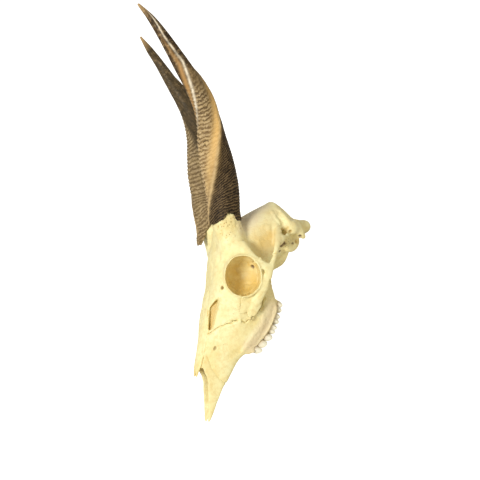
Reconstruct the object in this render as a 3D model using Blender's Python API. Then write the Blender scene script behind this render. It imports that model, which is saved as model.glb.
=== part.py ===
"""Skull of a male bushbuck without its lower jaw, with both horn sheaths, at life size.

Sizes are in millimetres in the skull's own frame: x to the animal's left, y to the back of the head, z up
from the last molar. At the end the whole skull is tipped about x until it lies on its cheek teeth and its
occipital condyles, and moved so that the origin is at the middle of the bottom of its bounding box.
"""

import math

import bmesh
import bpy
from mathutils import Matrix, Vector

# Millimetres to metres
MM = 0.001
# Room left between two neighbouring bones, or between bone and horn
GAP = 0.3

# Rough grain of the fused bone before it is thinned, and the triangles it is thinned to
BONE_GRAIN = 1.1
BONE_TRIANGLES = 6600
BONE_SMOOTHING = 3
# Edges shorter than this are dissolved in the finished nodes
SMALLEST_EDGE = 0.02

# Colours: bleached bone, horn sheath
BONE_COLOUR = (0.86, 0.79, 0.56, 1)
HORN_COLOUR = (0.16, 0.11, 0.06, 1)

# Where the skull touches the table: the lowest cheek tooth and the condyles, as (y, z)
TOOTH_REST = (-27, -4.3)
CONDYLE_REST = (88.5, 0.3)

# Face: half outlines (x, z) at stations along y, from the middle of the roof round to the middle of the palate
FACE = (
    (-95, ((0, 41), (6, 41), (10, 40), (11.6, 36), (12.4, 28), (12.2, 22), (10.4, 18.8), (5, 19.5), (0, 20.5))),
    (-86, ((0, 53), (6, 52.5), (11, 48.5), (13.6, 40), (14.6, 30), (14.4, 22.5), (12, 18.6), (6, 19.5), (0, 21))),
    (-66, ((0, 60), (7.5, 59), (13.5, 54), (17.4, 44), (18.8, 33), (18.4, 24), (15.5, 17.6), (8, 18.5), (0, 20.5))),
    (-54, ((0, 65), (9, 64), (15.5, 58), (20.6, 47), (23, 34), (23.2, 23), (23, 13), (17, 12), (0, 20.5))),
    (-40, ((0, 68.5), (11, 68), (19, 62), (25.6, 49), (28.6, 36), (27, 23), (26.4, 7.5), (19, 7), (0, 19.5))),
    (-24, ((0, 71.5), (13, 71), (25, 66), (32, 52), (34.5, 38), (29.5, 24), (28, 3.4), (19.5, 4), (0, 19.5))),
    (-8, ((0, 75), (16, 74.5), (31, 70), (38, 54), (38, 36), (30.5, 23), (28.6, 4), (20, 5), (0, 21))),
    (8, ((0, 80), (17, 79.5), (29, 72), (33, 52), (33, 36), (29, 24), (27, 13), (19, 14), (0, 26))),
    (22, ((0, 84), (17, 82), (24, 72), (26, 52), (25, 38), (23, 30), (21, 24), (15, 23), (0, 31))),
)

# Front bone of the snout: y, outer side, inner edge of its floor, top, underside
SNOUT_TIP = (
    (-137.3, 6.4, 4.4, 20.6, 18.6),
    (-134.5, 8.4, 2.8, 22.0, 18.2),
    (-128, 9.8, 2.0, 24.4, 18.8),
    (-118, 10.6, 2.0, 29.2, 19.6),
    (-108, 11.2, 2.4, 34.2, 20.2),
    (-98, 12.0, 3.4, 39.4, 20.6),
    (-91, 12.8, 5.0, 47.0, 20.8),
    (-83, 13.2, 6.0, 51.5, 21.0),
)
SNOUT_WALL = 3.0

# Nose bones: y, inner edge, outer edge, top, how far the outer edge lies below the top
NOSE = (
    (-100.8, 3.2, 4.8, 50.4, 0.6),
    (-95, 1.6, 6.2, 53.0, 1.4),
    (-91.5, 0, 8.8, 54.6, 3.0),
    (-76, 0, 10.4, 58.6, 4.4),
    (-60, 0, 11.6, 63.2, 4.6),
    (-47, 0, 12.8, 67.4, 4.8),
    (-34, 0, 13.0, 71.0, 4.6),
    (-24, 0, 10.5, 73.0, 3.2),
    (-14, 0, 4.5, 74.6, 1.0),
)
NOSE_THICKNESS = 3.0

# Braincase: y, half width, underside and top
BRAINCASE = (
    (18, 21, 30, 78),
    (30, 27, 24, 84),
    (44, 30.5, 18, 85),
    (58, 32, 14, 79.5),
    (70, 32.5, 12, 73),
    (80, 31.5, 12, 66),
    (88, 28, 16, 59.8),
    (94, 22, 28, 55),
    (98, 15, 38, 51.5),
    (101, 7, 45, 49.2),
)

# Eye socket: middle of the rim, the way it faces, half sizes along and across the rim, tilt of the long axis
ORBIT = (45, 8, 56)
ORBIT_FACES = (0.95, -0.22, 0.17)
ORBIT_HALF = (20.2, 18.0)
ORBIT_TILT = math.radians(35)
ORBIT_DEPTH = 27
# Bone round the eye socket: how thick it is at each depth behind the rim
ORBIT_WALL = ((-0.3, 1.1), (1.5, 1.6), (5, 1.7), (12, 1.8), (22, 1.2), (34, -4))

# Horn stump: middle of its end, and the lean of its axis from the back of the head up
STUMP = (24.5, 56, 91)
STUMP_LEAN = math.radians(41)
# Lower edge of each sheath in the stump's frame: distance back from the middle, height along the axis
LEFT_SHEATH_EDGE = (
    (-40, -10), (-19, -2.5), (-11, 0.4), (-6, 3.4), (-2, 9.6), (1, 8.4), (5.5, 8.8), (8, 3.0), (11, -0.5),
    (16.5, -2.5), (19, -1), (40, -4),
)
RIGHT_SHEATH_EDGE = (
    (-40, -26), (-24.5, -19), (-21.5, -13), (-18.5, -8), (-12, -3.2), (-6, 1.5), (-1, 5), (4, 4), (9, 0), (18, -2),
    (40, -4),
)

# Horns: stations of the middle line (x, y, z), and half the width across and along the head
LEFT_HORN = (
    ((20.5, 37, 76.5), 15.4, 15.4),
    ((24.5, 56, 91), 16.4, 16.8),
    ((28.5, 80.3, 106.4), 16.6, 18.0),
    ((33, 101.7, 123.1), 16.0, 17.6),
    ((38, 119.1, 137.8), 14.8, 15.6),
    ((42.5, 135.4, 150.2), 13.2, 13.2),
    ((46.5, 149.1, 163.8), 11.8, 11.6),
    ((50, 159.7, 178.5), 10.6, 10.4),
    ((52.5, 169.3, 195.3), 9.4, 9.2),
    ((54, 180.9, 214.1), 7.3, 7.1),
    ((53.5, 192.7, 232.6), 5.0, 4.8),
    ((52, 202.1, 248.8), 3.0, 2.9),
    ((50, 209.6, 265.8), 0.7, 0.7),
)
# The right horn leans further back, is a little shorter, and flares at its root
RIGHT_HORN = (
    ((20.7, 36.4, 80.1), 14.6, 18.2),
    ((24.5, 55.5, 92), 15.4, 16.2),
    ((28.3, 78.7, 106.3), 15.8, 17.0),
    ((32.5, 100.3, 119.5), 15.2, 16.9),
    ((37.2, 119, 129.3), 14.2, 15.0),
    ((41.4, 136, 138.2), 13.0, 13.0),
    ((45.2, 150.8, 148.1), 11.8, 11.6),
    ((48.5, 162.9, 159.2), 10.4, 10.2),
    ((50.8, 174.2, 172.3), 9.2, 9.0),
    ((52.2, 185.7, 191.2), 7.4, 7.2),
    ((51.8, 197.2, 210), 5.2, 5.0),
    ((50.3, 206.1, 227), 3.2, 3.1),
    ((48.5, 214.3, 242.8), 0.7, 0.7),
)
# The keels wind once round the horn: how far from root to tip, and where they start at the root
HORN_TWIST = math.radians(338)
HORN_TWIST_ROOT = math.radians(-28)
# Keels: where each starts round the horn from its front, how far it stands out as a part of the radius
KEELS = ((0, 0.17), (math.pi, 0.10))
# How wide a keel is round the horn, and how much flatter the horn is between them
KEEL_WIDTH = 0.30
HORN_FLATNESS = 0.04
HORN_RINGS = 44
HORN_SIDES = 20

# Cheek teeth of one side, front to back: length along the row, half width, and number of cusps in a row
TEETH = (
    (7.4, 3.6, 1),
    (8.6, 4.4, 1),
    (8.4, 5.0, 1),
    (10.8, 5.6, 2),
    (12.0, 6.0, 2),
    (12.4, 5.8, 2),
)
TOOTH_ROW_FRONT = -54.5
# Lines that the tooth row follows as (y, value): outer side, height of the cusps, height of the sockets
ROW_SIDE = ((-55, 22.0), (-40, 24.6), (-20, 26.2), (6, 26.0))
ROW_CUSPS = ((-55, 2.6), (-50, 0), (-42, -1), (-34, -4), (-20, -4.1), (-12, -2.8), (-6, -1.8), (6, 0.8))
ROW_SOCKETS = ((-55, 12.5), (-46, 8.5), (-38, 6), (-28, 4), (-8, 5), (6, 7.5))

# Seams between bones in the side view, as (y, z), each from its lower or front end
SNOUT_SEAM = ((-94, 0), (-94, 21), (-91, 31), (-85, 42), (-77, 50), (-77, 60))
CHEEK_SEAM = (
    (19, -10), (19, 27), (15, 29.5), (9, 26.5), (0, 23), (-10, 22), (-17.5, 24), (-25, 28), (-30, 31), (-32, 37),
    (-39, 47.5), (-46, 53), (-56, 57.8), (-60, 66), (-100, 66),
)
# How far from the middle of the head the cheekbone starts
ARCH_INNER = 33.5
ARCH_SEAM = (
    (-34, 31), (-33.5, 38), (-22, 43.2), (-13, 45.9), (-6, 49.4), (26, 51), (33, 46), (40, 39.5), (44, 33), (45.5, 26),
)


def metres(point):
    return Vector(point) * MM


def mirrored(point, side):
    return Vector((point[0] * side, point[1], point[2]))


def remove_everything():
    for old in list(bpy.data.objects):
        bpy.data.objects.remove(old)


def spline(points, count):
    """count points along a smooth curve through the given ones."""
    points = [Vector(p) for p in points]
    last = len(points) - 1
    slopes = []
    for i in range(len(points)):
        before, after = max(i - 1, 0), min(i + 1, last)
        slopes.append((points[after] - points[before]) / (after - before))
    made = []
    for i in range(count):
        place = i / (count - 1) * last
        k = min(int(place), last - 1)
        s = place - k
        near = 2 * s**3 - 3 * s**2 + 1
        made.append(
            points[k] * near
            + slopes[k] * (s**3 - 2 * s**2 + s)
            + points[k + 1] * (1 - near)
            + slopes[k + 1] * (s**3 - s**2)
        )
    return made


def on_line(line, y):
    """The value at y on a line given as (y, value) pairs."""
    for (y0, v0), (y1, v1) in zip(line, line[1:]):
        if y <= y1:
            return v0 + (v1 - v0) * max(y - y0, 0) / (y1 - y0)
    return line[-1][1]


def new_object(name, bm):
    mesh = bpy.data.meshes.new(name)
    bmesh.ops.recalc_face_normals(bm, faces=bm.faces)
    if bm.calc_volume(signed=True) < 0:
        bmesh.ops.reverse_faces(bm, faces=bm.faces)
    bm.to_mesh(mesh)
    bm.free()
    made = bpy.data.objects.new(name, mesh)
    bpy.context.scene.collection.objects.link(made)
    return made


def lofted(name, rings):
    """A closed body through rings of points in millimetres, each ring with as many points as the next."""
    bm = bmesh.new()
    loops = [[bm.verts.new(metres(p)) for p in ring] for ring in rings]
    sides = len(rings[0])
    for low, high in zip(loops, loops[1:]):
        for i in range(sides):
            j = (i + 1) % sides
            bm.faces.new((low[i], low[j], high[j], high[i]))
    for ring in (loops[0], loops[-1]):
        middle = bm.verts.new(sum((v.co for v in ring), Vector()) / sides)
        for i in range(sides):
            bm.faces.new((ring[i], ring[(i + 1) % sides], middle))
    return new_object(name, bm)


def rounded_ring(middle, across, up, half_across, half_up, sides, squareness=2.0):
    """An oval of the given half sizes, more nearly square as squareness grows."""
    ring = []
    for i in range(sides):
        angle = 2 * math.pi * i / sides
        c, s = math.cos(angle), math.sin(angle)
        a = math.copysign(abs(c) ** (2 / squareness), c) * half_across
        b = math.copysign(abs(s) ** (2 / squareness), s) * half_up
        ring.append(Vector(middle) + across * a + up * b)
    return ring


def swept(name, stations, reference=(1, 0, 0), sides=14, count=18, squareness=2.3):
    """A bar along a smooth line. Each station is a middle, half its size along reference, half across that."""
    line = spline([s[0] for s in stations], count)
    sizes = spline([(s[1], s[2], 0) for s in stations], count)
    rings = []
    for i, point in enumerate(line):
        along = (line[min(i + 1, count - 1)] - line[max(i - 1, 0)]).normalized()
        up = along.cross(Vector(reference)).normalized()
        across = up.cross(along)
        wide, high = max(sizes[i].x, 0.3), max(sizes[i].y, 0.3)
        rings.append(rounded_ring(point, across, up, wide, high, sides, squareness))
    return lofted(name, rings)


def swept_on_side(name, side, stations, **options):
    return swept(name, [(mirrored(middle, side), a, b) for middle, a, b in stations], **options)


def blob(name, middle, half, turn=(0, 0, 0)):
    """An egg-shaped mass with three half sizes, turned by angles in degrees about x, y and z."""
    bm = bmesh.new()
    bmesh.ops.create_icosphere(bm, subdivisions=4, radius=1)
    turned = Matrix.Identity(3)
    for angle, axis in zip(turn, "XYZ"):
        turned = Matrix.Rotation(math.radians(angle), 3, axis) @ turned
    bm.transform(Matrix.LocRotScale(metres(middle), turned, metres(half)))
    return new_object(name, bm)


def plate(name, outline, x_from, x_to):
    """A flat piece: an outline (y, z) in the side view, from one x to another."""
    bm = bmesh.new()
    low = [bm.verts.new(metres((x_from, y, z))) for y, z in outline]
    high = [bm.verts.new(metres((x_to, y, z))) for y, z in outline]
    for i in range(len(outline)):
        j = (i + 1) % len(outline)
        bm.faces.new((low[i], low[j], high[j], high[i]))
    ends = [bm.faces.new(low), bm.faces.new(list(reversed(high)))]
    bmesh.ops.triangulate(bm, faces=ends)
    return new_object(name, bm)


def both_sides(maker):
    """Runs maker once for each side: 1 is the animal's left, -1 its right."""
    return [maker("left", 1), maker("right", -1)]


def applied(obj):
    """Bakes an object's modifiers into its mesh."""
    graph = bpy.context.evaluated_depsgraph_get()
    baked = bpy.data.meshes.new_from_object(obj.evaluated_get(graph), depsgraph=graph)
    old = obj.data
    obj.modifiers.clear()
    obj.data = baked
    bpy.data.meshes.remove(old)
    return obj


def triangulated(obj):
    """Splits every face into triangles, the second way where the first makes three faces share an edge."""
    for way, last in (("BEAUTY", False), ("EAR_CLIP", True)):
        bm = bmesh.new()
        bm.from_mesh(obj.data)
        bmesh.ops.triangulate(bm, faces=bm.faces, ngon_method=way)
        sound = all(len(edge.link_faces) == 2 for edge in bm.edges)
        if sound or last:
            bm.to_mesh(obj.data)
        bm.free()
        if sound:
            break
    return obj


def combined(obj, pieces, operation):
    """Joins, cuts or crops obj with other closed bodies in one Boolean, and removes them."""
    group = bpy.data.collections.new("pieces")
    bpy.context.scene.collection.children.link(group)
    for piece in pieces:
        bpy.context.scene.collection.objects.unlink(piece)
        group.objects.link(piece)
    step = obj.modifiers.new(operation.lower(), "BOOLEAN")
    step.operation = operation
    step.solver = "MANIFOLD"
    step.operand_type = "COLLECTION"
    step.collection = group
    applied(obj)
    for piece in pieces:
        bpy.data.objects.remove(piece)
    bpy.data.collections.remove(group)
    return triangulated(obj)


def copied(obj, name):
    made = bpy.data.objects.new(name, obj.data.copy())
    bpy.context.scene.collection.objects.link(made)
    return made


def keep_largest(obj):
    """Deletes every closed surface of the mesh but the one with most vertices."""
    bm = bmesh.new()
    bm.from_mesh(obj.data)
    bm.verts.ensure_lookup_table()
    left = set(range(len(bm.verts)))
    best = set()
    while left:
        stack = [left.pop()]
        group = set(stack)
        while stack:
            for edge in bm.verts[stack.pop()].link_edges:
                for v in edge.verts:
                    if v.index in left:
                        left.discard(v.index)
                        group.add(v.index)
                        stack.append(v.index)
        if len(group) > len(best):
            best = group
    bmesh.ops.delete(bm, geom=[v for v in bm.verts if v.index not in best], context="VERTS")
    bm.to_mesh(obj.data)
    bm.free()
    return obj


def without_slivers(obj):
    """Dissolves edges and faces too small to see, which Booleans leave along their cuts."""
    bm = bmesh.new()
    bm.from_mesh(obj.data)
    bmesh.ops.dissolve_degenerate(bm, dist=SMALLEST_EDGE * MM, edges=bm.edges)
    bmesh.ops.triangulate(bm, faces=bm.faces)
    bm.to_mesh(obj.data)
    bm.free()


def parted(whole, name, inside, outside):
    """Takes out of whole what lies in the body inside, and cuts whole back to the slightly larger outside."""
    piece = combined(copied(whole, name), [inside], "INTERSECT")
    combined(whole, [outside], "DIFFERENCE")
    keep_largest(whole)
    return keep_largest(piece)


def halves(pair, name):
    """Splits a pair of bones that meet at the middle of the head."""
    reach = 90
    outline = ((-200, -40), (200, -40), (200, 160), (-200, 160))
    made = []
    for side_name, side in (("left", 1), ("right", -1)):
        half = plate("half", outline, side * GAP / 2, side * reach)
        made.append(keep_largest(combined(copied(pair, name + "_" + side_name), [half], "INTERSECT")))
    bpy.data.objects.remove(pair)
    return made


def material(name, colour, roughness):
    made = bpy.data.materials.new(name)
    made.use_nodes = True
    surface = made.node_tree.nodes["Principled BSDF"]
    surface.inputs["Base Color"].default_value = colour
    surface.inputs["Roughness"].default_value = roughness
    return made


def face_mass():
    """Snout, cheeks and palate as one body through the face's outlines."""
    sides, along = 17, 34
    columns = []
    for k in range(len(FACE[0][1])):
        columns.append(spline([(half[k][0], y, half[k][1]) for y, half in FACE], along))
    rings = []
    for i in range(along):
        half = spline([column[i] for column in columns], sides)
        other = [mirrored(p, -1) for p in reversed(half[1:-1])]
        rings.append(half + other)
    return lofted("face", rings)


def snout_tip(name, side):
    """The front bone of the snout: a thin wall standing on a narrow floor."""
    rings = []
    stations = zip(
        spline([(y, outer, inner) for y, outer, inner, top, low in SNOUT_TIP], 20),
        spline([(top, low, 0) for y, outer, inner, top, low in SNOUT_TIP], 20),
    )
    for (y, outer, inner), (top, low, _) in stations:
        wall = min(SNOUT_WALL, (outer - inner) / 2)
        floor = min(3.2, (top - low) * 0.8)
        outline = (
            (outer - 0.6, low), (outer, low + floor * 0.6), (outer - 0.1, (low + top) / 2), (outer - 0.8, top),
            (outer - wall, top - 0.2), (outer - wall, (low + top) / 2), (outer - wall, low + floor),
            (inner, low + floor * 0.8), (inner, low + 0.2),
        )
        rings.append([(x * side, y, z) for x, z in outline])
    return lofted("snout_" + name, rings)


def nose_bone(name, side, grow=0.0, reach=0.0):
    """One nose bone: an arched strip. Grown and deepened, it is the room that the bone takes."""
    rings = []
    stations = zip(
        spline([(y, inner, outer) for y, inner, outer, top, drop in NOSE], 22),
        spline([(top, drop, 0) for y, inner, outer, top, drop in NOSE], 22),
    )
    for (y, inner, outer), (top, drop, _) in stations:
        inner = max(inner, 0) - (0.5 if inner < 0.5 else 0)
        wide = outer + grow - inner
        thick = NOSE_THICKNESS + grow
        outline = [(inner, top + reach)]
        outline += [(inner + wide * t, top + reach - drop * t**2.2) for t in (0.3, 0.6, 0.85, 1.0)]
        outline += [(inner + wide * t, top - thick - drop * t**2.2 * 0.8) for t in (1.0, 0.85, 0.5)]
        outline += [(inner, top - thick)]
        rings.append([(x * side, y, z) for x, z in outline])
    return lofted("nose_" + name, rings)


def braincase_mass():
    rings = []
    stations = zip(
        spline([(y, width, 0) for y, width, low, high in BRAINCASE], 24),
        spline([(low, high, 0) for y, width, low, high in BRAINCASE], 24),
    )
    for (y, width, _), (low, high, _) in stations:
        middle = Vector((0, y, (low + high) / 2))
        across, up = Vector((1, 0, 0)), Vector((0, 0, 1))
        rings.append(rounded_ring(middle, across, up, width, (high - low) / 2, 36, 2.35))
    return lofted("braincase", rings)


def orbit_axes(side):
    """The way the eye socket faces, and the long and the short axis of its rim."""
    faces = Vector(ORBIT_FACES).normalized()
    back = (Vector((0, 1, 0)) - faces * faces.y).normalized()
    up = faces.cross(back)
    long_axis = back * math.cos(ORBIT_TILT) + up * math.sin(ORBIT_TILT)
    short_axis = faces.cross(long_axis)
    return [mirrored(v, side) for v in (faces, long_axis, short_axis)]


def orbit_ring(side, depth, grow, scale=1.0):
    """The outline of the eye socket at a depth behind its rim, grown by so many millimetres."""
    faces, long_axis, short_axis = orbit_axes(side)
    middle = mirrored(ORBIT, side) - faces * depth
    wide, high = ((half + grow) * scale for half in ORBIT_HALF)
    return rounded_ring(middle, long_axis, short_axis, wide, high, 36, 2.1)


def orbit_cone(name, side):
    """The bone round the eye socket, from its rim in to the middle of the skull."""
    return lofted("orbit_" + name, [orbit_ring(side, depth, wall) for depth, wall in ORBIT_WALL])


def orbit_bowl(name, side):
    """The hollow of the eye socket, to be cut out."""
    steps = 20
    rings = [orbit_ring(side, -6, 1.4)]
    for i in range(steps):
        t = math.pi / 2 * i / steps
        rings.append(orbit_ring(side, 1.5 + ORBIT_DEPTH * math.sin(t), 0, math.cos(t)))
    return lofted("bowl_" + name, rings)


def temple_hollow(name, side):
    """The space behind the eye socket that the jaw muscle filled, to be cut out."""
    return blob("temple_" + name, mirrored((48, 49, 50), side), (14, 21, 24), (18, 0, 0))


def cheek_hollow(name, side):
    """The hollow under the cheekbone, beside the back of the upper jaw."""
    return blob("cheek_" + name, mirrored((48, 16, 15), side), (17, 24, 14.5), (-8, 0, 0))


def stump_axes():
    """Along the horn's first stretch, and back across it."""
    along = Vector((0, math.cos(STUMP_LEAN), math.sin(STUMP_LEAN)))
    back = Vector((0, math.sin(STUMP_LEAN), -math.cos(STUMP_LEAN)))
    return along, back


def stump(name, side):
    """The bony stump that carries the horn, rising out of the brow."""
    stations = (
        ((19, 17, 62), 12.6, 12.5),
        ((21, 30, 69.4), 16.0, 15),
        ((22.8, 43, 79), 16.0, 14.6),
        ((24.5, 56, 91), 15.0, 14.6),
        ((26, 68, 99), 14.4, 14.8),
    )
    return swept_on_side("stump_" + name, side, stations, sides=24)


def brow_masses():
    """The arched forehead between the eyes, and the ridge from each stump to the eye socket."""
    made = [
        blob("forehead", (0, 14, 68), (31, 32, 14.5), (26, 0, 0)),
        blob("poll", (0, 44, 77), (24, 22, 14), (20, 0, 0)),
    ]
    for side in (1, -1):
        made.append(blob("brow", mirrored((29, 17, 65.6), side), (15.5, 20, 8.2), (22, 10 * side, 0)))
        made.append(blob("brow_corner", mirrored((33, 32, 67.2), side), (9.5, 12, 9.6), (30, 10 * side, 0)))
    return made


def occiput_pieces():
    """Crest, condyles, and the points and swellings of the ear and jaw muscles under the braincase."""
    crest = (
        ((31, 78, 26), 3.0, 4.0),
        ((30, 84, 33), 3.0, 4.4),
        ((23, 90.5, 42), 2.8, 4.2),
        ((11, 96.5, 47.2), 3.0, 4.0),
        ((0, 98, 48), 3.2, 4.0),
    )
    made = [
        blob("occipital_plate", (0, 86, 24), (23, 8, 18), (-14, 0, 0)),
        blob("basioccipital", (0, 74, 14.5), (10, 22, 5.5), (-4, 0, 0)),
        blob("basisphenoid", (0, 48, 19), (9, 24, 6.5), (-8, 0, 0)),
    ]
    for side in (1, -1):
        jugular = (
            ((25, 85, 26), 5, 7),
            ((26, 82, 18), 3.6, 5.6),
            ((25.5, 78, 10.5), 2.8, 4.0),
            ((24.5, 75.8, 5.0), 1.5, 2.2),
        )
        bulla_point = (((18, 68, 13), 4, 4.4), ((16.5, 70.5, 9), 2.6, 3), ((15.5, 72, 6.4), 1.3, 1.5))
        made += [
            swept_on_side("crest", side, crest, reference=(0, 1, 0), count=24, sides=12),
            blob("condyle", mirrored((12.5, 89.5, 8.6), side), (7.4, 7.6, 8.4), (30, 0, -20 * side)),
            blob("condyle_neck", mirrored((12, 84, 14.5), side), (10, 10.5, 10)),
            blob("bulla", mirrored((20, 66, 16), side), (6.4, 11, 8.6), (-14, 0, 8 * side)),
            swept_on_side("bulla_point", side, bulla_point, count=8, sides=10),
            swept_on_side("jugular", side, jugular, count=12),
            blob("mastoid", mirrored((29, 79, 25), side), (6, 8, 9)),
        ]
    return made


def zygomatic_arch(name, side):
    """Cheekbone bar: from its root over the ear, past the jaw hinge, forward under the eye socket."""
    stations = (
        ((27, 76, 41), 4.0, 3.2),
        ((34, 69, 38.5), 4.4, 3.4),
        ((40.5, 60, 37), 3.4, 4.2),
        ((44.5, 49, 35), 2.2, 2.9),
        ((47, 37, 33.8), 1.9, 2.3),
        ((48, 27, 34), 2.2, 4.0),
        ((46, 15, 32), 3.0, 4.8),
        ((42, 2, 31), 3.4, 5.0),
        ((36, -12, 30.5), 3.2, 5.0),
        ((30.5, -26, 29.5), 2.6, 3.4),
    )
    return swept_on_side("arch_" + name, side, stations, count=36)


def postorbital_bar(name, side):
    """The strut behind the eye, from the brow down to the cheekbone."""
    stations = (
        ((36, 38, 69), 6.0, 6.5),
        ((40, 34.5, 64), 5.0, 6.0),
        ((44.5, 31, 56.5), 3.0, 4.0),
        ((47.5, 28.5, 48), 2.3, 3.3),
        ((48.6, 26.6, 40), 2.2, 4.0),
        ((48, 25, 33), 2.2, 5.0),
    )
    return swept_on_side("bar_" + name, side, stations, count=18)


def jaw_hinge(name, side):
    """The shelf that the lower jaw swung on, and the low ridge behind it, as one piece."""
    shelf = blob("shelf_" + name, mirrored((33, 61, 33), side), (10, 8.5, 5), (0, 8 * side, 0))
    ridge = blob("ridge", mirrored((32, 68.5, 30), side), (6.5, 3.2, 6))
    return combined(shelf, [ridge], "UNION")


def throat_plate(name, side):
    """The upright plate of bone beside the back opening of the nose."""
    outline = (
        (0, 8), (6, 12.5), (16, 14), (26, 21), (33, 21), (39, 15.5), (44, 12.5), (51, 11.6), (60, 13), (64, 22),
        (60, 28), (0, 34),
    )
    return plate("throat_" + name, outline, side * 11.5, side * 15)


def nasal_passage():
    """The hollow of the nose behind its open front, to be cut out."""
    stations = (
        ((0, -104, 37), 8.4, 13),
        ((0, -95, 37), 9.0, 13.2),
        ((0, -86, 37.5), 10.2, 13.8),
        ((0, -66, 40), 12.4, 15.6),
        ((0, -46, 43.5), 13.6, 18.5),
        ((0, -26, 49.5), 14.5, 18.5),
        ((0, -10, 54), 11, 13),
    )
    return swept("passage", stations, count=24, sides=24, squareness=2.6)


def throat_hollow():
    """The back opening of the nose between the throat plates, to be cut out."""
    stations = (
        ((0, 66, 3), 10.6, 6),
        ((0, 44, 10.5), 10.6, 8),
        ((0, 24, 19), 10.6, 9),
        ((0, 6, 29), 9.0, 8),
        ((0, -8, 34), 6, 5),
    )
    return swept("throat_hollow", stations, count=20, sides=20, squareness=2.8)


def nose_slit(name, side):
    """The gap between nose bone and cheek in front of the eye, to be cut out."""
    outline = (
        (-18.5, 65.4), (-26, 67), (-33, 67.2), (-42, 63.6), (-52, 58.8), (-57, 56.4), (-50, 57.2), (-41, 59),
        (-33, 60.6), (-29.5, 60.8), (-26.5, 62.6), (-21, 64),
    )
    return plate("slit_" + name, outline, side * 5, side * 34)


def brain_hole():
    """The opening for the spinal cord, to be cut out."""
    stations = (((0, 104, 15), 9.8, 8.6), ((0, 92, 17), 9, 8), ((0, 76, 22), 8.4, 8), ((0, 64, 28), 5, 5))
    return swept("brain_hole", stations, count=12, sides=24)


def ear_hole(name, side):
    """The opening of the ear, to be cut out."""
    stations = (((42, 68.5, 32.5), 3.4, 3.0), ((33, 69.5, 32), 2.8, 2.6), ((24, 72, 31), 2.0, 2.0))
    return swept_on_side("ear_" + name, side, stations, reference=(0, 1, 0), count=8, sides=12)


def horn(name, side, grow=0.0):
    """One horn sheath: a tapering, keeled, slowly twisting cone, cut off along its ragged lower edge."""
    stations = LEFT_HORN if side > 0 else RIGHT_HORN
    line = spline([s[0] for s in stations], HORN_RINGS)
    sizes = spline([(s[1], s[2], 0) for s in stations], HORN_RINGS)
    runs = [0.0]
    for point, following in zip(line, line[1:]):
        runs.append(runs[-1] + (following - point).length)
    rings = []
    for i, point in enumerate(line):
        along = (line[min(i + 1, HORN_RINGS - 1)] - line[max(i - 1, 0)]).normalized()
        front = (Vector((0, 0, 1)) - along * along.z).normalized()
        outer = along.cross(front)
        outer = outer if outer.x > 0 else -outer
        turn = HORN_TWIST_ROOT + HORN_TWIST * runs[i] / runs[-1]
        ring = []
        for k in range(HORN_SIDES):
            angle = 2 * math.pi * k / HORN_SIDES + turn
            lift = 1.0
            for keel, height in KEELS:
                apart = (angle - turn - keel + math.pi) % (2 * math.pi) - math.pi
                lift += height * math.exp(-((apart / KEEL_WIDTH) ** 2))
            swell = 1 - HORN_FLATNESS * (1 + math.cos(2 * (angle - turn)))
            a = math.cos(angle) * (sizes[i].y + grow) * lift * swell
            b = math.sin(angle) * (sizes[i].x + grow) * lift * swell
            ring.append(point + front * a + outer * b)
        rings.append(ring)
    body = lofted(name, [[mirrored(p, side) for p in ring] for ring in rings])
    return combined(body, [below_sheath(side, grow)], "DIFFERENCE")


def below_sheath(side, grow):
    """All that lies under a sheath's lower edge."""
    along, back = stump_axes()
    edge = LEFT_SHEATH_EDGE if side > 0 else RIGHT_SHEATH_EDGE
    points = [(u, v - grow) for u, v in edge] + [(60, -60), (-60, -60)]
    middle = Vector(STUMP)
    outline = []
    for u, v in points:
        place = middle + back * u + along * v
        outline.append((place.y, place.z))
    return plate("below_sheath", outline, side * -4, side * 70)


def tooth(side, start, length, half_width, cusps):
    """One cheek tooth: an upright prism with ribs on its outer side and pointed cusps."""
    middle = start + length / 2
    tip = on_line(ROW_CUSPS, middle)
    socket = on_line(ROW_SOCKETS, middle)
    ribs = 4 * cusps
    outline = []
    for k in range(ribs + 1):
        t = k / ribs
        outline.append((t - 0.5, 1.0 if k % 2 == 0 else 0.78))
    for k in range(ribs + 1):
        t = 1 - k / ribs
        bulge = abs(math.sin(math.pi * cusps * t))
        outline.append(((t - 0.5) * 0.94, -0.55 - 0.45 * bulge))
    levels = ((socket + 6, 0.90, 0), (socket, 0.94, 0), ((socket + tip) / 2, 1.0, 0), (tip, 0.86, 1))
    rings = []
    for z, size, pointed in levels:
        ring = []
        for u, v in outline:
            y = middle + u * length * 0.95 * (0.5 + size / 2)
            outer = on_line(ROW_SIDE, y)
            x = outer - half_width + v * half_width * size
            point = abs(math.cos(math.pi * cusps * (u + 0.5))) * 1.7 * pointed
            ring.append((x * side, y, z + point))
        rings.append(ring)
    return lofted("tooth", rings)


def tooth_row(side):
    start = TOOTH_ROW_FRONT
    made = []
    for length, half_width, cusps in TEETH:
        made.append(tooth(side, start, length, half_width, cusps))
        start += length
    return made


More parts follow.
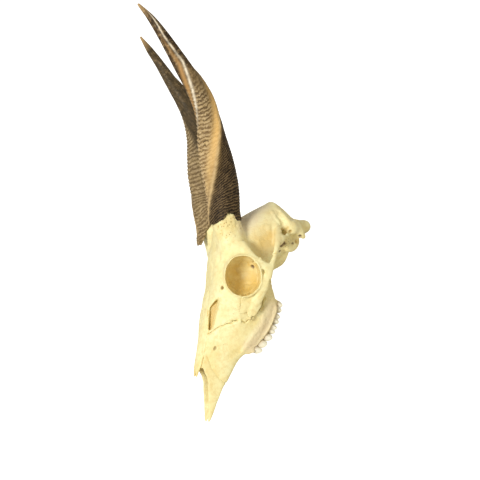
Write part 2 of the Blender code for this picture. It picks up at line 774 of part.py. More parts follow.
def bone_mass():
    """All bones as one closed body, before it is parted along the seams."""
    whole = face_mass()
    solid = [braincase_mass()] + brow_masses() + both_sides(orbit_cone) + both_sides(stump)
    combined(whole, solid, "UNION")
    hollows = both_sides(orbit_bowl) + both_sides(temple_hollow) + both_sides(cheek_hollow)
    combined(whole, hollows, "DIFFERENCE")
    added = both_sides(zygomatic_arch) + both_sides(postorbital_bar) + both_sides(jaw_hinge)
    added += both_sides(throat_plate) + both_sides(snout_tip) + occiput_pieces()
    combined(whole, added, "UNION")
    openings = both_sides(orbit_bowl) + both_sides(nose_slit) + both_sides(ear_hole)
    openings += [nasal_passage(), throat_hollow(), brain_hole()]
    combined(whole, openings, "DIFFERENCE")
    combined(whole, both_sides(nose_bone), "UNION")
    grain = whole.modifiers.new("grain", "REMESH")
    grain.mode = "VOXEL"
    grain.voxel_size = BONE_GRAIN * MM
    soften = whole.modifiers.new("soften", "SMOOTH")
    soften.factor = 0.5
    soften.iterations = BONE_SMOOTHING
    applied(whole)
    keep_largest(whole)
    thin = whole.modifiers.new("thin", "DECIMATE")
    thin.ratio = BONE_TRIANGLES / (2 * len(whole.data.polygons))
    thin.use_collapse_triangulate = True
    return applied(whole)


def nose_room(grow):
    """The room that both nose bones take, down to a little under them."""
    left = nose_bone("room_left", 1, grow, 12)
    return combined(left, [nose_bone("room_right", -1, grow, 12)], "UNION")


def seam_body(name, seam, outside, shift, x_from=-80, x_to=80):
    """A body bounded by a seam, which is moved by shift, and by points far outside the bone."""
    outline = [(y + shift[0], z + shift[1]) for y, z in seam] + list(outside)
    return plate(name, outline, x_from, x_to)


def bones():
    """Every bone as a node of its own, parted from the whole along its seams."""
    whole = bone_mass()
    for name, side in (("left", 1), ("right", -1)):
        combined(whole, [horn("room", side, GAP)], "DIFFERENCE")
    keep_largest(whole)
    made = halves(parted(whole, "nasal", nose_room(0), nose_room(GAP)), "nasal")
    front = ((-160, 60), (-160, 0))
    snout = [seam_body("snout", SNOUT_SEAM, front, (shift, 0)) for shift in (0, GAP)]
    made += halves(parted(whole, "premaxilla", *snout), "premaxilla")
    below = ((-160, 66), (-160, -20), (19, -20))
    cheek = [seam_body("cheek", CHEEK_SEAM, below, (shift * 0.8, shift * 0.8)) for shift in (0, GAP)]
    for jaw, side in zip(halves(parted(whole, "maxilla", *cheek), "maxilla"), (1, -1)):
        made.append(combined(jaw, tooth_row(side), "UNION"))
    for name, side in (("left", 1), ("right", -1)):
        under = ((40, 12), (0, 12), (-32, 22))
        arch = []
        for grow in (0, GAP):
            inner = side * (ARCH_INNER - grow)
            arch.append(seam_body("arch", ARCH_SEAM, under, (grow * 0.3, grow), inner, side * 80))
        made.append(parted(whole, "jugal_" + name, *arch))
    whole.name = "cranium"
    return made + [whole]


def settle(nodes):
    """Tips the skull on to its teeth and condyles, and puts the origin under its bounding box."""
    run = CONDYLE_REST[0] - TOOTH_REST[0]
    rise = CONDYLE_REST[1] - TOOTH_REST[1]
    tip = Matrix.Rotation(-math.atan2(rise, run), 4, "X")
    for node in nodes:
        node.data.transform(tip)
    corners = [v.co for node in nodes for v in node.data.vertices]
    low = Vector([min(c[i] for c in corners) for i in range(3)])
    high = Vector([max(c[i] for c in corners) for i in range(3)])
    move = Matrix.Translation((-(low.x + high.x) / 2, -(low.y + high.y) / 2, -low.z))
    for node in nodes:
        node.data.transform(move)
    return tip, move


def main():
    remove_everything()
    bone = material("bone", BONE_COLOUR, 0.55)
    sheath = material("horn", HORN_COLOUR, 0.45)
    nodes = bones()
    for node in nodes:
        node.data.materials.append(bone)
    for name, side in (("horn_left", 1), ("horn_right", -1)):
        made = keep_largest(horn(name, side))
        made.data.materials.append(sheath)
        nodes.append(made)
    for node in nodes:
        without_slivers(node)
        for face in node.data.polygons:
            face.use_smooth = True
    tip, move = settle(nodes)
    return move @ tip


REST = main()
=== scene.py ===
import math

import bpy
import numpy as np
from mathutils import Matrix, Vector


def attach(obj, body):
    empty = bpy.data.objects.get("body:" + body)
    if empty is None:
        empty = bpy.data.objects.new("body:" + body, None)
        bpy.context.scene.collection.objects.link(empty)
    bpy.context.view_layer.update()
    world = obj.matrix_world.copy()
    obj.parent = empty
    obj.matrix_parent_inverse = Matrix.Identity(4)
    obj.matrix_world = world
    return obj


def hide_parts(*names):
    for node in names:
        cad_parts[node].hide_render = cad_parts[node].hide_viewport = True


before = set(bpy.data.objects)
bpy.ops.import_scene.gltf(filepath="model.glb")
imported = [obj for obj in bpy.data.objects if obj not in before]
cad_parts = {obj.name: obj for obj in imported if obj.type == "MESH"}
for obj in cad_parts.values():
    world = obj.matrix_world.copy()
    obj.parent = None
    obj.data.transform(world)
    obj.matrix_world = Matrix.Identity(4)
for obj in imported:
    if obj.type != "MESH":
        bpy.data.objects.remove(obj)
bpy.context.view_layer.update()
bpy.ops.object.select_all(action="DESELECT")


# The cleaned skull bones. Each is a copy of its plain solid, evened out into fine faces, so that
# seams, holes and rims can be carved into it. The bones meet along narrow, ragged seams.
MM = 0.001
LYING_TILT = -2.2807
LYING_PLACE = (-0.000947, -0.044164, 0.003175)
TIP = Matrix.Rotation(math.radians(LYING_TILT), 4, "X")
SKULL_TO_FLOOR = Matrix.Translation(LYING_PLACE) @ TIP @ Matrix.Scale(MM, 4)
FLOOR_TO_SKULL = SKULL_TO_FLOOR.inverted()


def finish_with(piece, kind, **values):
    """Adds one modifier to the piece and applies it."""
    modifier = piece.modifiers.new(kind.lower(), kind)
    for key, value in values.items():
        setattr(modifier, key, value)
    bpy.context.view_layer.objects.active = piece
    piece.select_set(True)
    bpy.ops.object.modifier_apply(modifier=modifier.name)
    piece.select_set(False)


def bone_blank(node, name, grain, smoothing):
    """A copy of a bone's solid, with faces of about one size all over."""
    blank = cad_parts[node].copy()
    blank.data = blank.data.copy()
    blank.name = name
    blank.data.name = name
    blank.data.materials.clear()
    bpy.context.scene.collection.objects.link(blank)
    bpy.context.view_layer.objects.active = blank
    blank.select_set(True)
    bpy.ops.object.mode_set(mode="EDIT")
    bpy.ops.mesh.select_all(action="SELECT")
    bpy.ops.mesh.remove_doubles(threshold=1e-5)
    bpy.ops.object.mode_set(mode="OBJECT")
    blank.select_set(False)
    finish_with(blank, "SUBSURF", levels=1, render_levels=1)
    finish_with(blank, "REMESH", mode="VOXEL", voxel_size=grain * MM, adaptivity=0.0)
    finish_with(blank, "SMOOTH", factor=0.5, iterations=smoothing)
    return blank


def read_points(piece):
    """The piece's vertices in the skull's own frame: mm, x to its left, y back, z up."""
    flat = np.empty(len(piece.data.vertices) * 3)
    piece.data.vertices.foreach_get("co", flat)
    turn = np.array(FLOOR_TO_SKULL)
    return flat.reshape(-1, 3) @ turn[:3, :3].T + turn[:3, 3]


def write_points(piece, points):
    """Puts the piece's vertices at points of the skull's own frame."""
    turn = np.array(SKULL_TO_FLOOR)
    flat = points @ turn[:3, :3].T + turn[:3, 3]
    piece.data.vertices.foreach_set("co", flat.reshape(-1))
    piece.data.update()


def read_normals(piece):
    """The piece's vertex normals in the skull's own frame."""
    flat = np.empty(len(piece.data.vertices) * 3)
    piece.data.vertex_normals.foreach_get("vector", flat)
    return flat.reshape(-1, 3) @ np.array(TIP)[:3, :3]


CELL_PRIMES = np.array((73856093, 19349663, 83492791))


def uneven(points, size, seed):
    """Smooth random numbers from -1 to 1 that change over about size mm."""
    spots = points / size + seed * 7.31
    cell = np.floor(spots).astype(np.int64)
    part = spots - cell
    part = part * part * (3 - 2 * part)
    total = np.zeros(len(points))
    for corner in np.ndindex(2, 2, 2):
        key = (cell + corner) @ CELL_PRIMES + seed * 9176
        key = (key ^ (key >> 13)) * 1274126177 % 2147483647
        value = (key & 65535) / 32767.5 - 1
        total += np.prod(np.where(corner, part, 1 - part), axis=1) * value
    return total


def nearness(points, path, reach):
    """1 on the path, falling smoothly to 0 at reach mm from it."""
    best = np.full(len(points), 1e9)
    ends = path[1:] or path
    for a, b in zip(path, ends):
        a, b = np.array(a, float), np.array(b, float)
        way = b - a
        t = np.clip((points - a) @ way / max(way @ way, 1e-9), 0, 1)
        best = np.minimum(best, np.linalg.norm(points - a - t[:, None] * way, axis=1))
    t = np.clip(1 - best / reach, 0, 1)
    return t * t * (3 - 2 * t)


bone_pieces = {}
for node, grain, smoothing in (
    ("cranium", 0.86, 4),
    ("maxilla_left", 0.6, 4),
    ("maxilla_right", 0.6, 4),
    ("jugal_left", 0.5, 4),
    ("jugal_right", 0.5, 4),
    ("nasal_left", 0.55, 3),
    ("nasal_right", 0.55, 3),
    ("premaxilla_left", 0.5, 3),
    ("premaxilla_right", 0.5, 3),
):
    bone_pieces[node] = bone_blank(node, node + "_bone", grain, smoothing)
bone_shape = {node: read_points(piece) for node, piece in bone_pieces.items()}
bone_faces = {node: read_normals(piece) for node, piece in bone_pieces.items()}
TINGES = ("brown", "golden", "dusk", "porous", "seam")
bone_tinge = {node: {s: np.zeros(len(p)) for s in TINGES} for node, p in bone_shape.items()}

# The gum line. The plain teeth of the solids are pressed up to it, to make room for finer ones, which
# stand in the same row.
GUM_LINE = ((-56, 12.8), (-46, 8.2), (-38, 5.8), (-28, 3.6), (-8, 4.4), (7, 7.8))
for node in ("maxilla_left", "maxilla_right"):
    points = bone_shape[node]
    gum = np.interp(points[:, 1], *zip(*GUM_LINE))
    in_row = (points[:, 1] > -55.6) & (points[:, 1] < 9)
    points[:, 2] = np.where(in_row, np.maximum(points[:, 2], gum), points[:, 2])


BOTH_SIDES = (1, -1)


def points_near(points, path, side, reach):
    """The path on one side of the skull, and which of the points may lie within reach mm of it."""
    line = [(x * side, y, z) for x, y, z in path]
    low = np.min(line, axis=0) - reach - 1
    high = np.max(line, axis=0) + reach + 1
    return line, np.flatnonzero(np.all((points > low) & (points < high), axis=1))


def carve(path, reach, depth, ragged=0.0, sides=BOTH_SIDES, push=None, only=None, **tinges):
    """Presses bone in (or raises it, below zero) along a path on one or both sides, and tints it with stains
    and painted shade.
    """
    for node, points in bone_shape.items():
        if only and not node.startswith(only):
            continue
        for side in sides:
            line, near = points_near(points, path, side, reach)
            if not len(near):
                continue
            spots = points[near]
            shaken = spots
            if ragged:
                shake = [uneven(spots, 2.2, k + 3 * side) for k in (1, 2, 3)]
                shaken = spots + ragged * np.column_stack(shake)
            weight = nearness(shaken, line, reach)
            way = -bone_faces[node][near] if push is None else np.array(push) * (side, 1, 1)
            points[near] = spots + way * (weight * depth)[:, None]
            for tinge, strength in tinges.items():
                marks = bone_tinge[node][tinge]
                marks[near] = np.maximum(marks[near], np.sqrt(weight) * strength)


# The seams between bones, the toothed lines along which the skull grew. The bones are swollen until
# they meet, and a fine stained line is left, as in a grown animal.
CHEEK_SEAM = (
    (15, -56, 57), (18.5, -50.8, 54.9), (21.9, -45.7, 52), (26, -39, 49), (28.5, -37, 46.4),
    (30.2, -34.8, 39.9), (29.5, -30.4, 33.2), (30.6, -29.6, 30), (33.1, -25.9, 28.2), (31.3, -21.2, 25.6),
    (30.2, -15.7, 22.4), (29, -8, 21), (27, 0, 21),
)
JUGAL_SEAM = (
    (39, -6, 50.3), (37.5, -12.9, 46.4), (37.1, -16.0, 44.8), (34.6, -22.4, 43.0), (33.4, -29, 40.0),
    (32, -33, 37), (31, -34, 31),
)
SNOUT_SEAM = (
    (11.0, -74.8, 54.2), (11.4, -76.6, 52.2), (11.6, -80.2, 47.9), (11.8, -85.0, 41.0), (12.0, -89.0, 32.5),
    (11.8, -92.3, 22.3),
)
NASAL_SEAM = (
    (10.4, -76, 54.2), (11.6, -60, 58.6), (12.8, -47, 62.6), (13, -34, 66.4), (10.5, -24, 70),
    (4.5, -15, 73.6),
)
ARCH_SEAM = ((48, 26, 51), (47, 33, 46), (45, 40, 39.5), (44, 44, 33))
FOLD_SEAM = ((37, 2, 24.2), (36.8, -5, 24.8), (36.5, -10.8, 25.6), (35.5, -15.8, 26.6), (34.2, -20.8, 27.4))
CORNER_SEAM = ((34.2, -21.5, 32.5), (33.5, -24.5, 30.0), (32.6, -26.5, 28.0))
SEAMS = (
    (CHEEK_SEAM, (0.92, 0, 0.39), 0.5),
    (JUGAL_SEAM, (0.92, -0.25, 0.30), 0.25),
    (SNOUT_SEAM, (0.97, 0, 0.24), 0.12),
    (NASAL_SEAM, (0.55, -0.2, 0.81), 0.12),
    (ARCH_SEAM, (0.98, 0, 0.2), 0.1),
    (FOLD_SEAM, (0.93, -0.1, 0.35), 0.1),
    (CORNER_SEAM, (0.93, -0.1, 0.35), 0.1),
)
SEAM_REACH = 2.6
SEAM_SWELL = 1.7
NOSE_MIDLINE = ((0, -91, 54.4), (0, -60, 63), (0, -34, 71), (0, -12, 75))


def close_gap(path, reach, outward, depth):
    """Swells the bones on both sides of a seam towards each other, until their edges meet."""
    for node, points in bone_shape.items():
        for side in BOTH_SIDES:
            line, near = points_near(points, path, side, reach)
            if not len(near):
                continue
            out = np.array(outward) * (side, 1, 1)
            faces = bone_faces[node][near]
            sideways = faces - (faces @ out)[:, None] * out
            points[near] += sideways * (nearness(points[near], line, reach) * depth)[:, None]


for seam, outward, stained in SEAMS:
    close_gap(seam, SEAM_REACH, outward, SEAM_SWELL)
    carve(seam, 1.3, -0.3)
    carve(seam, 0.8, 0, ragged=0.5, seam=stained)
carve(NOSE_MIDLINE, 1.5, -0.35, seam=0.15)

# The eye sockets. Each opens from a thin, crisp rim that is rough along its lower front edge, with the
# nerve hole deep at its back. The tear hole and the brow's hole and groove lie in front and above.
SOCKET = np.array((45.0, 8.0, 56.0))
SOCKET_FACES = np.array((0.9600, -0.2223, 0.1718))
SOCKET_LONG = np.array((0.0865, 0.8108, 0.5789))
SOCKET_HALF_LONG = 20.2
SOCKET_HALF_HIGH = 18.0
SOCKET_DEPTH = 32
RIM_LIP = 0.4
for node, points in bone_shape.items():
    for side in BOTH_SIDES:
        mirror = np.array((side, 1, 1))
        spots = points * mirror - SOCKET
        depth = -spots @ SOCKET_FACES
        along = spots @ SOCKET_LONG
        rise = spots @ np.cross(SOCKET_FACES, SOCKET_LONG)
        round_it = np.sqrt((along / SOCKET_HALF_LONG) ** 2 + (rise / SOCKET_HALF_HIGH) ** 2)
        inside = (round_it < 1.03) & (depth > RIM_LIP) & (depth < SOCKET_DEPTH)
        colour = np.clip((depth - RIM_LIP) / 1.6, 0, 1) * np.clip((1.04 - round_it) / 0.04, 0, 1)
        creases = 1 - np.abs(uneven(points, 6.5, 21))
        points -= bone_faces[node] * np.where(inside & (depth > 3), creases**4 * 0.8, 0)[:, None]
        mottled = 0.66 + 0.38 * uneven(points, 5.5, 22) + 0.25 * creases**3 - 0.012 * along
        mottled = np.clip(mottled, 0.2, 1.1)
        marks = bone_tinge[node]["golden"]
        marks[:] = np.maximum(marks, np.where(inside, colour * mottled, 0))
SOCKET_RIM = (
    (39.0, -8.3, 65.4), (38.4, -11.3, 59.2), (36.9, -13.5, 51.3), (38.4, -12.0, 46.7), (39.9, -9.0, 43.0),
    (41.4, -5.5, 39.6), (46.0, 1.7, 38.0), (48.0, 10.8, 38.0), (48.8, 17.8, 40.4), (50.0, 23.6, 45.7),
    (49.5, 26.8, 52.5), (47.8, 27.6, 59.5), (46.2, 25.2, 66.5),
)
RIM_FRONT = np.array(SOCKET_RIM[2])
RIM_BELOW = np.array(SOCKET_RIM[6])
RIM_SPOTS = 8
NERVE_HOLE = ((29.1, 23.7, 46.9), (28.2, 24.6, 45.6))
NERVE_HOLE_LIP = ((29.5, 21.5, 49.4), (31, 16, 52))
SOCKET_HOLLOW = ((30, 4, 45), (30.5, 9, 51), (31, 14, 56))
SOCKET_FOLD = ((33, -2, 50), (31.5, 3, 58))
SOCKET_ROOF = ((28, 12, 62), (31, 4, 66))
TEAR_HOLE = ((31.3, -9.7, 68.0),)
BROW_GROOVE = ((20.5, 39.5, 95.9), (22.8, 31.5, 90.6), (23.6, 21.6, 83.6), (21.6, 15.7, 79.7))
BROW_RIDGE = ((16.5, 39.5, 97.0), (18.0, 31.5, 92.0), (18.6, 21.6, 85.6), (16.6, 12, 80.7))
FOREHEAD_DIP = ((3, 18.1, 85.0), (11.0, 10.6, 81.3), (11.0, -1.5, 76.9))
BROW_EDGE = ((40, 14, 75), (40, 5, 74), (26, -4, 74), (22, -12, 72))
DOWN = (0, 0, -1)
carve(SOCKET_RIM[6:], 1.5, -0.5, ragged=0.4)
carve(SOCKET_RIM[2:7], 2.0, -0.9, ragged=1.8)
carve(SOCKET_RIM[3:6], 1.3, 0.7, ragged=2.2)
for k in range(RIM_SPOTS):
    spot = RIM_FRONT + (RIM_BELOW - RIM_FRONT) * k / (RIM_SPOTS - 1) + (0, 0.8 * math.sin(3.1 * k), 0)
    carve((tuple(spot),), 1.5, -1.1 if k % 2 else 0.8, ragged=0.7)
# Painted shade: brown darkens the nerve hole, the socket's roof and the tear hole.
carve(NERVE_HOLE, 2.6, 3.2, brown=1.4, ragged=0.3)
carve(NERVE_HOLE_LIP, 3.5, -0.6)
carve(SOCKET_HOLLOW, 3.0, 0.5, ragged=1.5)
carve(SOCKET_FOLD, 4.0, -0.6, ragged=1.5)
carve(SOCKET_ROOF, 6.0, 0.5, ragged=1.5, brown=0.12)
carve(TEAR_HOLE, 2.5, 2.6, brown=0.85, golden=1.3)
carve(BROW_GROOVE, 3.4, 0.9)
carve(BROW_RIDGE, 3.6, -0.5)
carve(FOREHEAD_DIP, 4.0, 0.5)
carve(BROW_EDGE, 12, 3.2, sides=(-1,), push=DOWN)
carve(BROW_EDGE[:3], 10, 0.8, sides=(1,), push=DOWN)

# The gap between nose bone, forehead and cheek, open into the nose, with a torn upper edge. The nose
# bone is cut back along it, and the bone that shows inside is golden.
GAP_INNER_EDGE = ((26.6, -21, 66), (14.2, -33, 67.6), (14.4, -40, 63.6), (14.6, -55, 58.4))
GAP_OUTER_EDGE = ((26.6, -21, 65.6), (21.1, -28.5, 61.4), (19, -40.3, 59), (16.9, -48.5, 57.5))
GAP_NOSE_SIDE = ((14, -30, 67.5), (14.4, -38, 64.6), (14.6, -46, 61.5))
NOSE_INSIDE = ((0, -95, 38), (0, -66, 41), (0, -46, 44.5), (0, -26, 50))
carve(GAP_INNER_EDGE, 1.6, 0.5, ragged=1.4, golden=0.8)
carve(GAP_OUTER_EDGE, 1.3, 0.2, ragged=0.6, golden=0.7)
carve(GAP_NOSE_SIDE, 3.4, 2.4, push=(-0.6, 0, 0.75), only="nasal")
carve(NOSE_INSIDE, 16.5, 0, only=("maxilla", "cranium", "nasal"), golden=1.6)

# The upper jaw: the hole of the cheek's nerve, the crest under which the jaw muscle sat, the thin gum
# edge around the teeth, and the bony ridge in front of them. Its face is warm in patches and porous.
CHEEK_NERVE_HOLE = ((16.8, -65.8, 46.2), (16.6, -67.5, 46.4))
JAW_CREST = (
    (30, -16, 16), (29.3, -24, 13.5), (28.3, -31.6, 14.7), (27.6, -36.4, 16.6), (24.9, -49.1, 18.4),
    (21.7, -57.2, 19),
)
GUM_HOLLOW = ((29, -4, 9), (28.6, -16, 8), (28, -26, 7.5), (27, -38, 9), (24, -49, 12))
GUM_EDGE = ((26.6, 4, 6.4), (28.2, -8, 5), (28, -24, 4.2), (26.6, -38, 6.2), (23.2, -50, 10))
JAW_REAR_HOLLOW = ((30.5, 3, 15), (31.5, -6, 20), (33.5, -14, 24))
JAW_FRONT_HOLLOW = ((20, -70, 30), (19, -60, 24))
JAW_UNDERSIDE = ((28.5, -6, 10), (28.5, -26, 9), (27.5, -38, 11), (24, -50, 14))
ROW_RIDGE = ((21.6, -58, 12.5), (22.4, -54, 10.5))
ROW_RIDGE_EDGE = ((22.4, -57.5, 10.5), (23, -52, 7.5))
POROUS_PATCHES = (((27, -46, 36), 9), ((24, -60, 42), 9), ((31, -26, 46), 7), ((33, -10, 52), 6))
WARM_SNOUT = ((19, -66, 50), (16, -78, 49), (13, -90, 45))
WARM_SNOUT_TIP = ((13, -96, 36), (11, -112, 32))
# Painted shade: brown darkens the cheek nerve hole.
carve(CHEEK_NERVE_HOLE, 1.9, 1.7, brown=0.55, ragged=0.3)
carve(JAW_CREST, 4.0, -0.9, ragged=1.0)
carve(GUM_HOLLOW, 4.0, 0.9, ragged=0.8)
carve(GUM_EDGE, 1.3, -0.5, ragged=0.6)
# Painted shade: dusk in the hollow at the jaw's rear.
carve(JAW_REAR_HOLLOW, 4.5, 0.7, ragged=1.2, dusk=0.25)
carve(JAW_FRONT_HOLLOW, 5.0, 0.6, ragged=1.0, golden=0.35)
# Painted shade: the jaw's underside, which faces down, is made dusky and warm.
carve(JAW_UNDERSIDE, 11, 0, dusk=1.0, golden=0.2)
carve(ROW_RIDGE, 5.0, 4.2, push=(0.1, -0.25, -0.95), golden=0.3)
carve(ROW_RIDGE_EDGE, 1.6, -0.9, ragged=0.9)
for place, reach in POROUS_PATCHES:
    carve((place,), reach, 0, ragged=3.0, porous=0.5)
carve(WARM_SNOUT, 12, 0, ragged=5.0, golden=0.38)
carve(WARM_SNOUT_TIP, 8, 0, ragged=4.0, golden=0.25)

# The stump's rough, holed collar, where the horn grew. Beads and hollows take turns along it.
COLLAR = ((36, 40, 91), (38.5, 50, 90), (38.5, 53, 84))
COLLAR_FOOT = ((37, 46, 80), (38, 54, 78))
COLLAR_BEADS = 26
carve(COLLAR, 10.5, 0.35, ragged=3.0, porous=2.2, golden=0.4)
carve(COLLAR_FOOT, 6.0, 0.2, ragged=3.0, porous=1.6)
for k in range(COLLAR_BEADS):
    height = 91.0 - 0.35 * k + 5.0 * math.sin(2.3 * k)
    bead = (35.0 + 1.8 * math.sin(k), 36 + 0.9 * k, height)
    carve((bead,), 1.8, -0.9 if k % 2 else 1.2, ragged=0.7, golden=0 if k % 2 else 0.8)

# The ear region: the ear's opening, the rough, holed bone under it, and the hollow behind the jaw hinge.
# The holes are the ways of nerves and vessels; the dark inside them is painted shade.
EAR_OPENING = ((36, 74, 29.5), (33, 71, 31.6), (35.5, 66, 34.4))
EAR_LIP = ((38.5, 66, 37), (38, 72, 34), (36, 77, 29))
EAR_HOLES = (
    (((33.3, 73.6, 25.2),), 2.4, 2.4, {"golden": 1.4, "brown": 0.5}),
    (((26.9, 74.9, 11.9),), 2.6, 2.6, {"brown": 1.3, "ragged": 0.5}),
    (((26.3, 58.0, 25.7), (26.5, 61, 23)), 2.6, 2.6, {"brown": 1.4, "ragged": 0.8}),
    (((26.4, 65.4, 16.0),), 2.0, 2.0, {"brown": 1.1, "ragged": 0.5}),
    (((23.8, 52.0, 24.6),), 2.0, 1.8, {"brown": 1.1, "ragged": 0.5}),
    (((24.9, 69.3, 12.2),), 3.6, 1.6, {"golden": 1.2, "brown": 0.3, "ragged": 0.6}),
)
POROUS_EAR = ((25, 58, 22), (26, 68, 18))
POROUS_EAR_BACK = ((28, 80, 20), (27, 84, 28))
carve(EAR_OPENING, 4.4, 2.2, golden=1.6, brown=0.12, ragged=0.9)
carve(EAR_LIP, 2.0, -0.7, ragged=0.8)
for hole, reach, depth, edge in EAR_HOLES:
    carve(hole, reach, depth, **edge)
carve(POROUS_EAR, 8.5, 0.3, ragged=3.0, porous=1.0, golden=0.3)
carve(POROUS_EAR_BACK, 8.0, 0.2, ragged=3.0, porous=0.7, dusk=0.3)

# The jaw muscle's hollow behind the eye, warm and rippled, with its ridge running up to the stump, and
# the ridges of the neck muscles behind it. The braincase above is a little duskier.
TEMPLE_MIDDLE = ((31, 55, 45),)
TEMPLE_FLOOR = ((30.5, 50, 50), (30, 60, 44))
TEMPLE_RIPPLES = (
    (((31.9, 66, 53.6), (32.2, 68.6, 48.1), (32.4, 64, 46)), 3.2, -0.9, {"ragged": 1.6, "golden": 0.5}),
    (((31.1, 49.7, 52.2), (30.4, 45, 46.9), (31, 41, 40)), 3.4, -0.8, {"ragged": 1.2}),
    (((31.6, 55, 50), (31.9, 56.4, 40)), 2.6, 0.6, {"ragged": 1.6, "golden": 0.9}),
    (((32, 60, 66), (31.5, 70, 60), (31, 78, 52)), 2.0, -0.6, {"ragged": 1.0}),
    (((27.8, 88.5, 43.4), (30.4, 82.7, 42.9), (31.5, 79.2, 35.9)), 2.4, 0.9, {"ragged": 0.8}),
    (((26, 86, 50), (30, 80, 45), (33, 76, 38)), 2.4, -0.8, {"ragged": 0.9}),
)
NECK_RIDGE = ((28, 88, 46), (31, 78, 50), (31, 70, 60))
BRAINCASE = ((12, 66, 70), (22, 70, 66), (24, 58, 72), (12, 84, 60))
STUMP_FOOT = ((34, 61, 79), (33, 52, 74))
carve(TEMPLE_MIDDLE, 21, 0, golden=0.75, dusk=0.5)
carve(TEMPLE_FLOOR, 12, 0, golden=0.9)
for ripple_line, reach, depth, edge in TEMPLE_RIPPLES:
    carve(ripple_line, reach, depth, **edge)
carve(NECK_RIDGE, 9, 0, dusk=0.2)
carve(BRAINCASE, 17, 0, dusk=0.9)
carve(STUMP_FOOT, 8, 0, dusk=0.7)

for node, piece in bone_pieces.items():
    points = bone_shape[node]
    pores = uneven(points, 1.7, 5) * 0.5 + uneven(points, 4.5, 6) * 0.7
    rough = bone_tinge[node]["porous"] * uneven(points, 1.5, 9) * 0.35
    points += bone_faces[node] * (pores * 0.13 - np.abs(rough))[:, None]
    write_points(piece, points)
    for tinge, marks in bone_tinge[node].items():
        piece.data.attributes.new(tinge, "FLOAT", "POINT").data.foreach_set("value", marks)


# The scroll bones inside the nose, thin and golden, seen through the gaps beside the nose bones. They
# carried the lining of the nose. Each is one thin, closed strip.
def tapered_strip(name, stations, across, thickness):
    """A thin closed strip along stations of (x, y, z, half width), lying across the given direction."""
    sides = 8
    vertices = []
    for x, y, z, half in stations:
        for k in range(sides):
            angle = 2 * math.pi * k / sides
            flat = Vector(across) * math.cos(angle) * half
            thick = Vector((across[2], 0, -across[0])) * math.sin(angle) * thickness
            vertices.append(SKULL_TO_FLOOR @ (Vector((x, y, z)) + flat + thick))
    quads = []
    for i in range(len(stations) - 1):
        for k in range(sides):
            here, there = i * sides + k, i * sides + (k + 1) % sides
            quads.append((here, there, there + sides, here + sides))
    quads.append(tuple(range(sides)))
    quads.append(tuple(reversed(range((len(stations) - 1) * sides, len(stations) * sides))))
    mesh = bpy.data.meshes.new(name)
    mesh.from_pydata(vertices, [], quads)
    strip = bpy.data.objects.new(name, mesh)
    bpy.context.scene.collection.objects.link(strip)
    bpy.context.view_layer.objects.active = strip
    strip.select_set(True)
    bpy.ops.object.mode_set(mode="EDIT")
    bpy.ops.mesh.select_all(action="SELECT")
    bpy.ops.mesh.normals_make_consistent(inside=False)
    bpy.ops.object.mode_set(mode="OBJECT")
    strip.select_set(False)
    finish_with(strip, "SUBSURF", levels=2, render_levels=2)
    return strip


SCROLL_STATIONS = (
    (17.0, -17, 64.5, 5.0), (16.8, -24, 63.6, 7.4), (15.2, -33, 61.4, 8.0), (13.8, -43, 57.8, 7.0),
    (12.2, -53, 54.0, 6.0), (11.0, -60, 51.3, 4.6),
)
SCROLL_THICKNESS = 0.7
SCROLL_STAINS = (("golden", 1.3), ("brown", 0.22))
inner_bones = []
for side, word in ((1, "left"), (-1, "right")):
    stations = [(x * side, y, z, half) for x, y, z, half in SCROLL_STATIONS]
    scroll = tapered_strip("nose_scroll_" + word, stations, (0.6 * side, 0, -0.8), SCROLL_THICKNESS)
    for tinge, strength in SCROLL_STAINS:
        marks = scroll.data.attributes.new(tinge, "FLOAT", "POINT")
        marks.data.foreach_set("value", [strength] * len(scroll.data.vertices))
    inner_bones.append(scroll)


# The bone under the seams. Where two bones meet, their toothed edges reach under each other, so that
# no seam is an open crack. It shows only as the floor of each fine line.
CORE_RADIUS = 1.3
CORE_DEPTH = 1.5
CORE_STEP = 1.0
FACING_OUT = 0.75
core_curve = bpy.data.curves.new("seam_bone", "CURVE")
core_curve.dimensions = "3D"
core_curve.bevel_depth = CORE_RADIUS * MM
core_curve.bevel_resolution = 3
core_curve.use_fill_caps = True
all_bone = np.concatenate(list(bone_shape.values()))
all_faces = np.concatenate(list(bone_faces.values()))
for seam, outward, _ in SEAMS:
    corners = np.array(seam, float)
    run = np.concatenate(([0], np.cumsum(np.linalg.norm(np.diff(corners, axis=0), axis=1))))
    steps = np.arange(0, run[-1], CORE_STEP)
    for side in BOTH_SIDES:
        out = np.array(outward) * (side, 1, 1) / np.linalg.norm(outward)
        middle = np.column_stack([np.interp(steps, run, corners[:, i]) for i in range(3)]) * (side, 1, 1)
        places = []
        for spot in middle:
            close = np.linalg.norm(all_bone - spot, axis=1) < SEAM_REACH
            outer = all_bone[close & (all_faces @ out > FACING_OUT)]
            if len(outer):
                places.append(spot + out * (((outer - spot) @ out).mean() - CORE_DEPTH))
        strand = core_curve.splines.new("POLY")
        strand.points.add(len(places) - 1)
        for point, place in zip(strand.points, places):
            point.co = (*(SKULL_TO_FLOOR @ Vector(place)), 1)
seam_bone = bpy.data.objects.new("seam_bone", core_curve)
bpy.context.scene.collection.objects.link(seam_bone)
bpy.context.view_layer.objects.active = seam_bone
seam_bone.select_set(True)
bpy.ops.object.convert(target="MESH")
seam_bone.select_set(False)
inner_bones.append(seam_bone)


